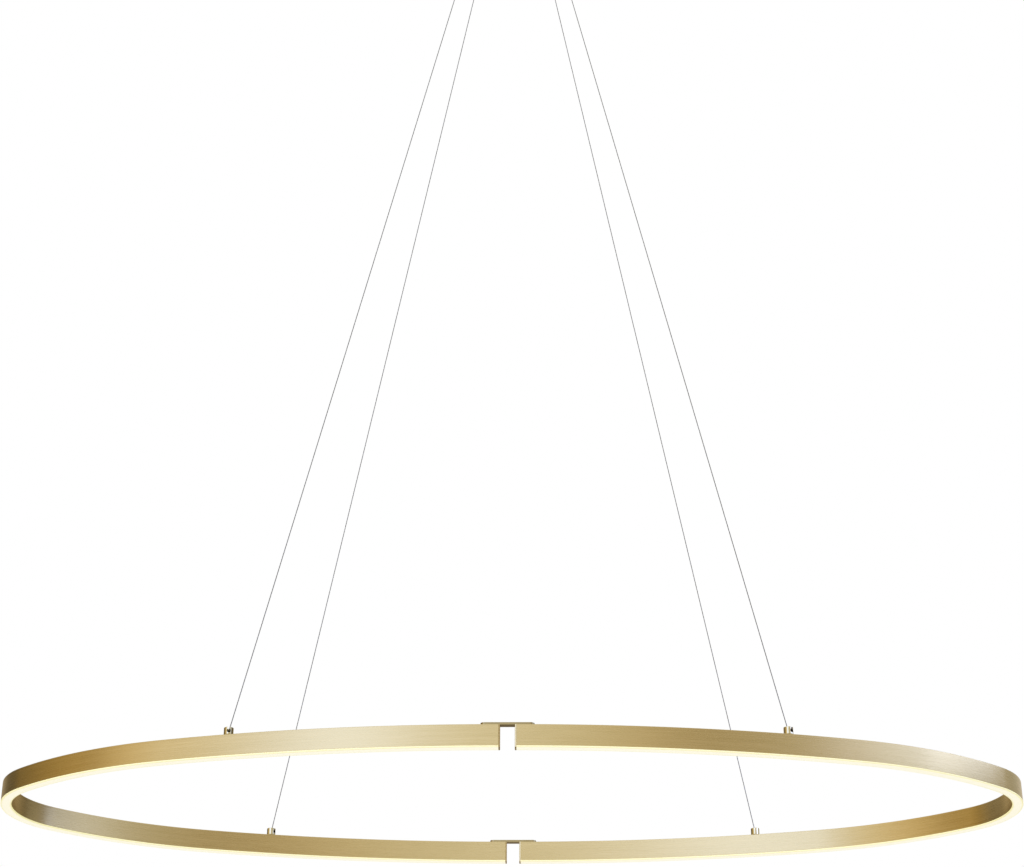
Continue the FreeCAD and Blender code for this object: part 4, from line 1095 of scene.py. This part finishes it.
def plated(name, colour, shade, roughness=0.30):
    """Zinc-plated sheet: broad spangle over fine rolling lines."""
    material, pen = new_material(name)
    spangle = pen.node("ShaderNodeTexVoronoi", (), {"Vector": object_place(pen), "Scale": 320.0},
                       "Color")
    spangle = pen.node("ShaderNodeSeparateColor", (), {0: spangle}).out("Red")
    where = parts(pen)
    rolling = combine(pen, where * 30, where.out("Y") * 1500, where.out("Z") * 1500)
    rolling = noise(pen, rolling, 1.0, 2.0)
    return finish_with(material, pen, Metallic=1.0,
                       Base_Color=(spangle * 0.4 + rolling * 0.6).tint(shade, colour),
                       Roughness=roughness + spangle * 0.10 + rolling * 0.08,
                       Normal=bump(pen, rolling, 0.15, 0.0001))


driver_plastic = moulded("driver_plastic", (0.80, 0.80, 0.78), (0.74, 0.74, 0.72))
terminal_plastic = moulded("terminal_plastic", (0.72, 0.71, 0.66), (0.66, 0.65, 0.60), 0.38)
nylon = moulded("nylon", (0.80, 0.78, 0.70), (0.72, 0.70, 0.61), 0.40, 1800.0)
zinc = plated("zinc", (0.68, 0.66, 0.60), (0.55, 0.535, 0.49))
ground_steel = plated("ground_steel", (0.52, 0.52, 0.53), (0.42, 0.42, 0.43), 0.18)
board, pen = new_material("board")
fleck = noise(pen, object_place(pen), 1400.0, 2.0)
mask = fleck.tint((0.80, 0.80, 0.77), (0.86, 0.86, 0.83))
phosphor = fleck.tint((0.84, 0.66, 0.16), (0.92, 0.76, 0.28))
face_z = -1.55902
finish_with(board, pen, Base_Color=(parts(pen).out("Z") < face_z).tint(mask, phosphor),
            Roughness=0.35 + fleck * 0.2, Normal=bump(pen, fleck, 0.2, 0.0001))


# %% Softened copies of three CAD solids
def softened_copy(name, node, width, material):
    """A merged copy of a CAD node, with its flats joined up again and its edges eased."""
    whole = bmesh.new()
    whole.from_mesh(frame["nodes"][node].data)
    bmesh.ops.remove_doubles(whole, verts=whole.verts, dist=0.000001)
    bmesh.ops.dissolve_limit(whole, angle_limit=math.radians(0.5), verts=whole.verts,
                             edges=whole.edges)
    whole.verts.index_update()
    mesh = bpy.data.meshes.new(name)
    faces = [[v.index for v in face.verts] for face in whole.faces]
    mesh.from_pydata([v.co for v in whole.verts], [], faces)
    whole.free()
    mesh.materials.append(material)
    return soften(new_piece(name, mesh), width, 2, 50)


stand_for(softened_copy("ceiling_strap", "ceiling_bracket", 0.0002, zinc), "canopy", "zinc_steel",
          "ceiling_bracket")

# the supply's case is two halves, so a seam runs round it under its lid
supply = softened_copy("supply_case", "power_supply", 0.0005, driver_plastic)
seams = []
for half_length, x, y, turn in ((0.053, 0, 0.0186, 0), (0.053, 0, -0.0186, math.pi),
                                (0.02, -0.0516, 0, math.pi / 2), (0.02, 0.0516, 0, math.pi * 1.5)):
    groove = rectangle(-half_length, -0.0004, half_length, 0.001)
    seams.append(place(pushed_up("seam", groove, -0.0245, -0.0241, driver_plastic), x, y, 0, turn))
stand_for(cut_away(supply, *seams), "canopy", "driver_plastic", "power_supply")

# three slotted screws sit in the terminal block's upper holes
terminals = softened_copy("terminal_case", "terminal_block", 0.0002, terminal_plastic)
clamp = turn_piece("clamp", [(0, 0), (0.00205, 0), (0.00205, 0.0013), (0.0018, 0.0016),
                             (0, 0.0016)], zinc, 40, False, 0)
cut_away(clamp, pushed_up("slit", rectangle(-0.003, -0.0003, 0.003, 0.0003), 0.0008, 0.002, zinc))
clamps = fasten("clamps", clamp, [(0.010 * k, 0.036, -0.03545) for k in (-1, 0, 1)], zinc)
stand_for(joined("terminal_case_with_screws", [terminals, clamps]), "canopy", "terminal_plastic",
          "terminal_block")

# %% Materials of the nodes that stay
carried = {"light_board_left": board, "light_board_right": board, "holder_insulators": nylon,
           "holder_nuts": zinc, "driver_nuts": zinc, "contact_pins": polished_brass}
carried.update({"locking_jaws_" + corner: ground_steel for corner in corners})
for name, material in carried.items():
    frame["nodes"][name].data.materials.clear()
    frame["nodes"][name].data.materials.append(material)
print("CAD nodes that stay:", len(carried), "of", len(frame["nodes"]))

# %% Extents of the CAD model and of the scene
json.dump({"cad": [list(v) for v in cad_box], "scene": [list(v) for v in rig.bounds()]},
          open("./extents.json", "w"))
print(open("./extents.json").read())
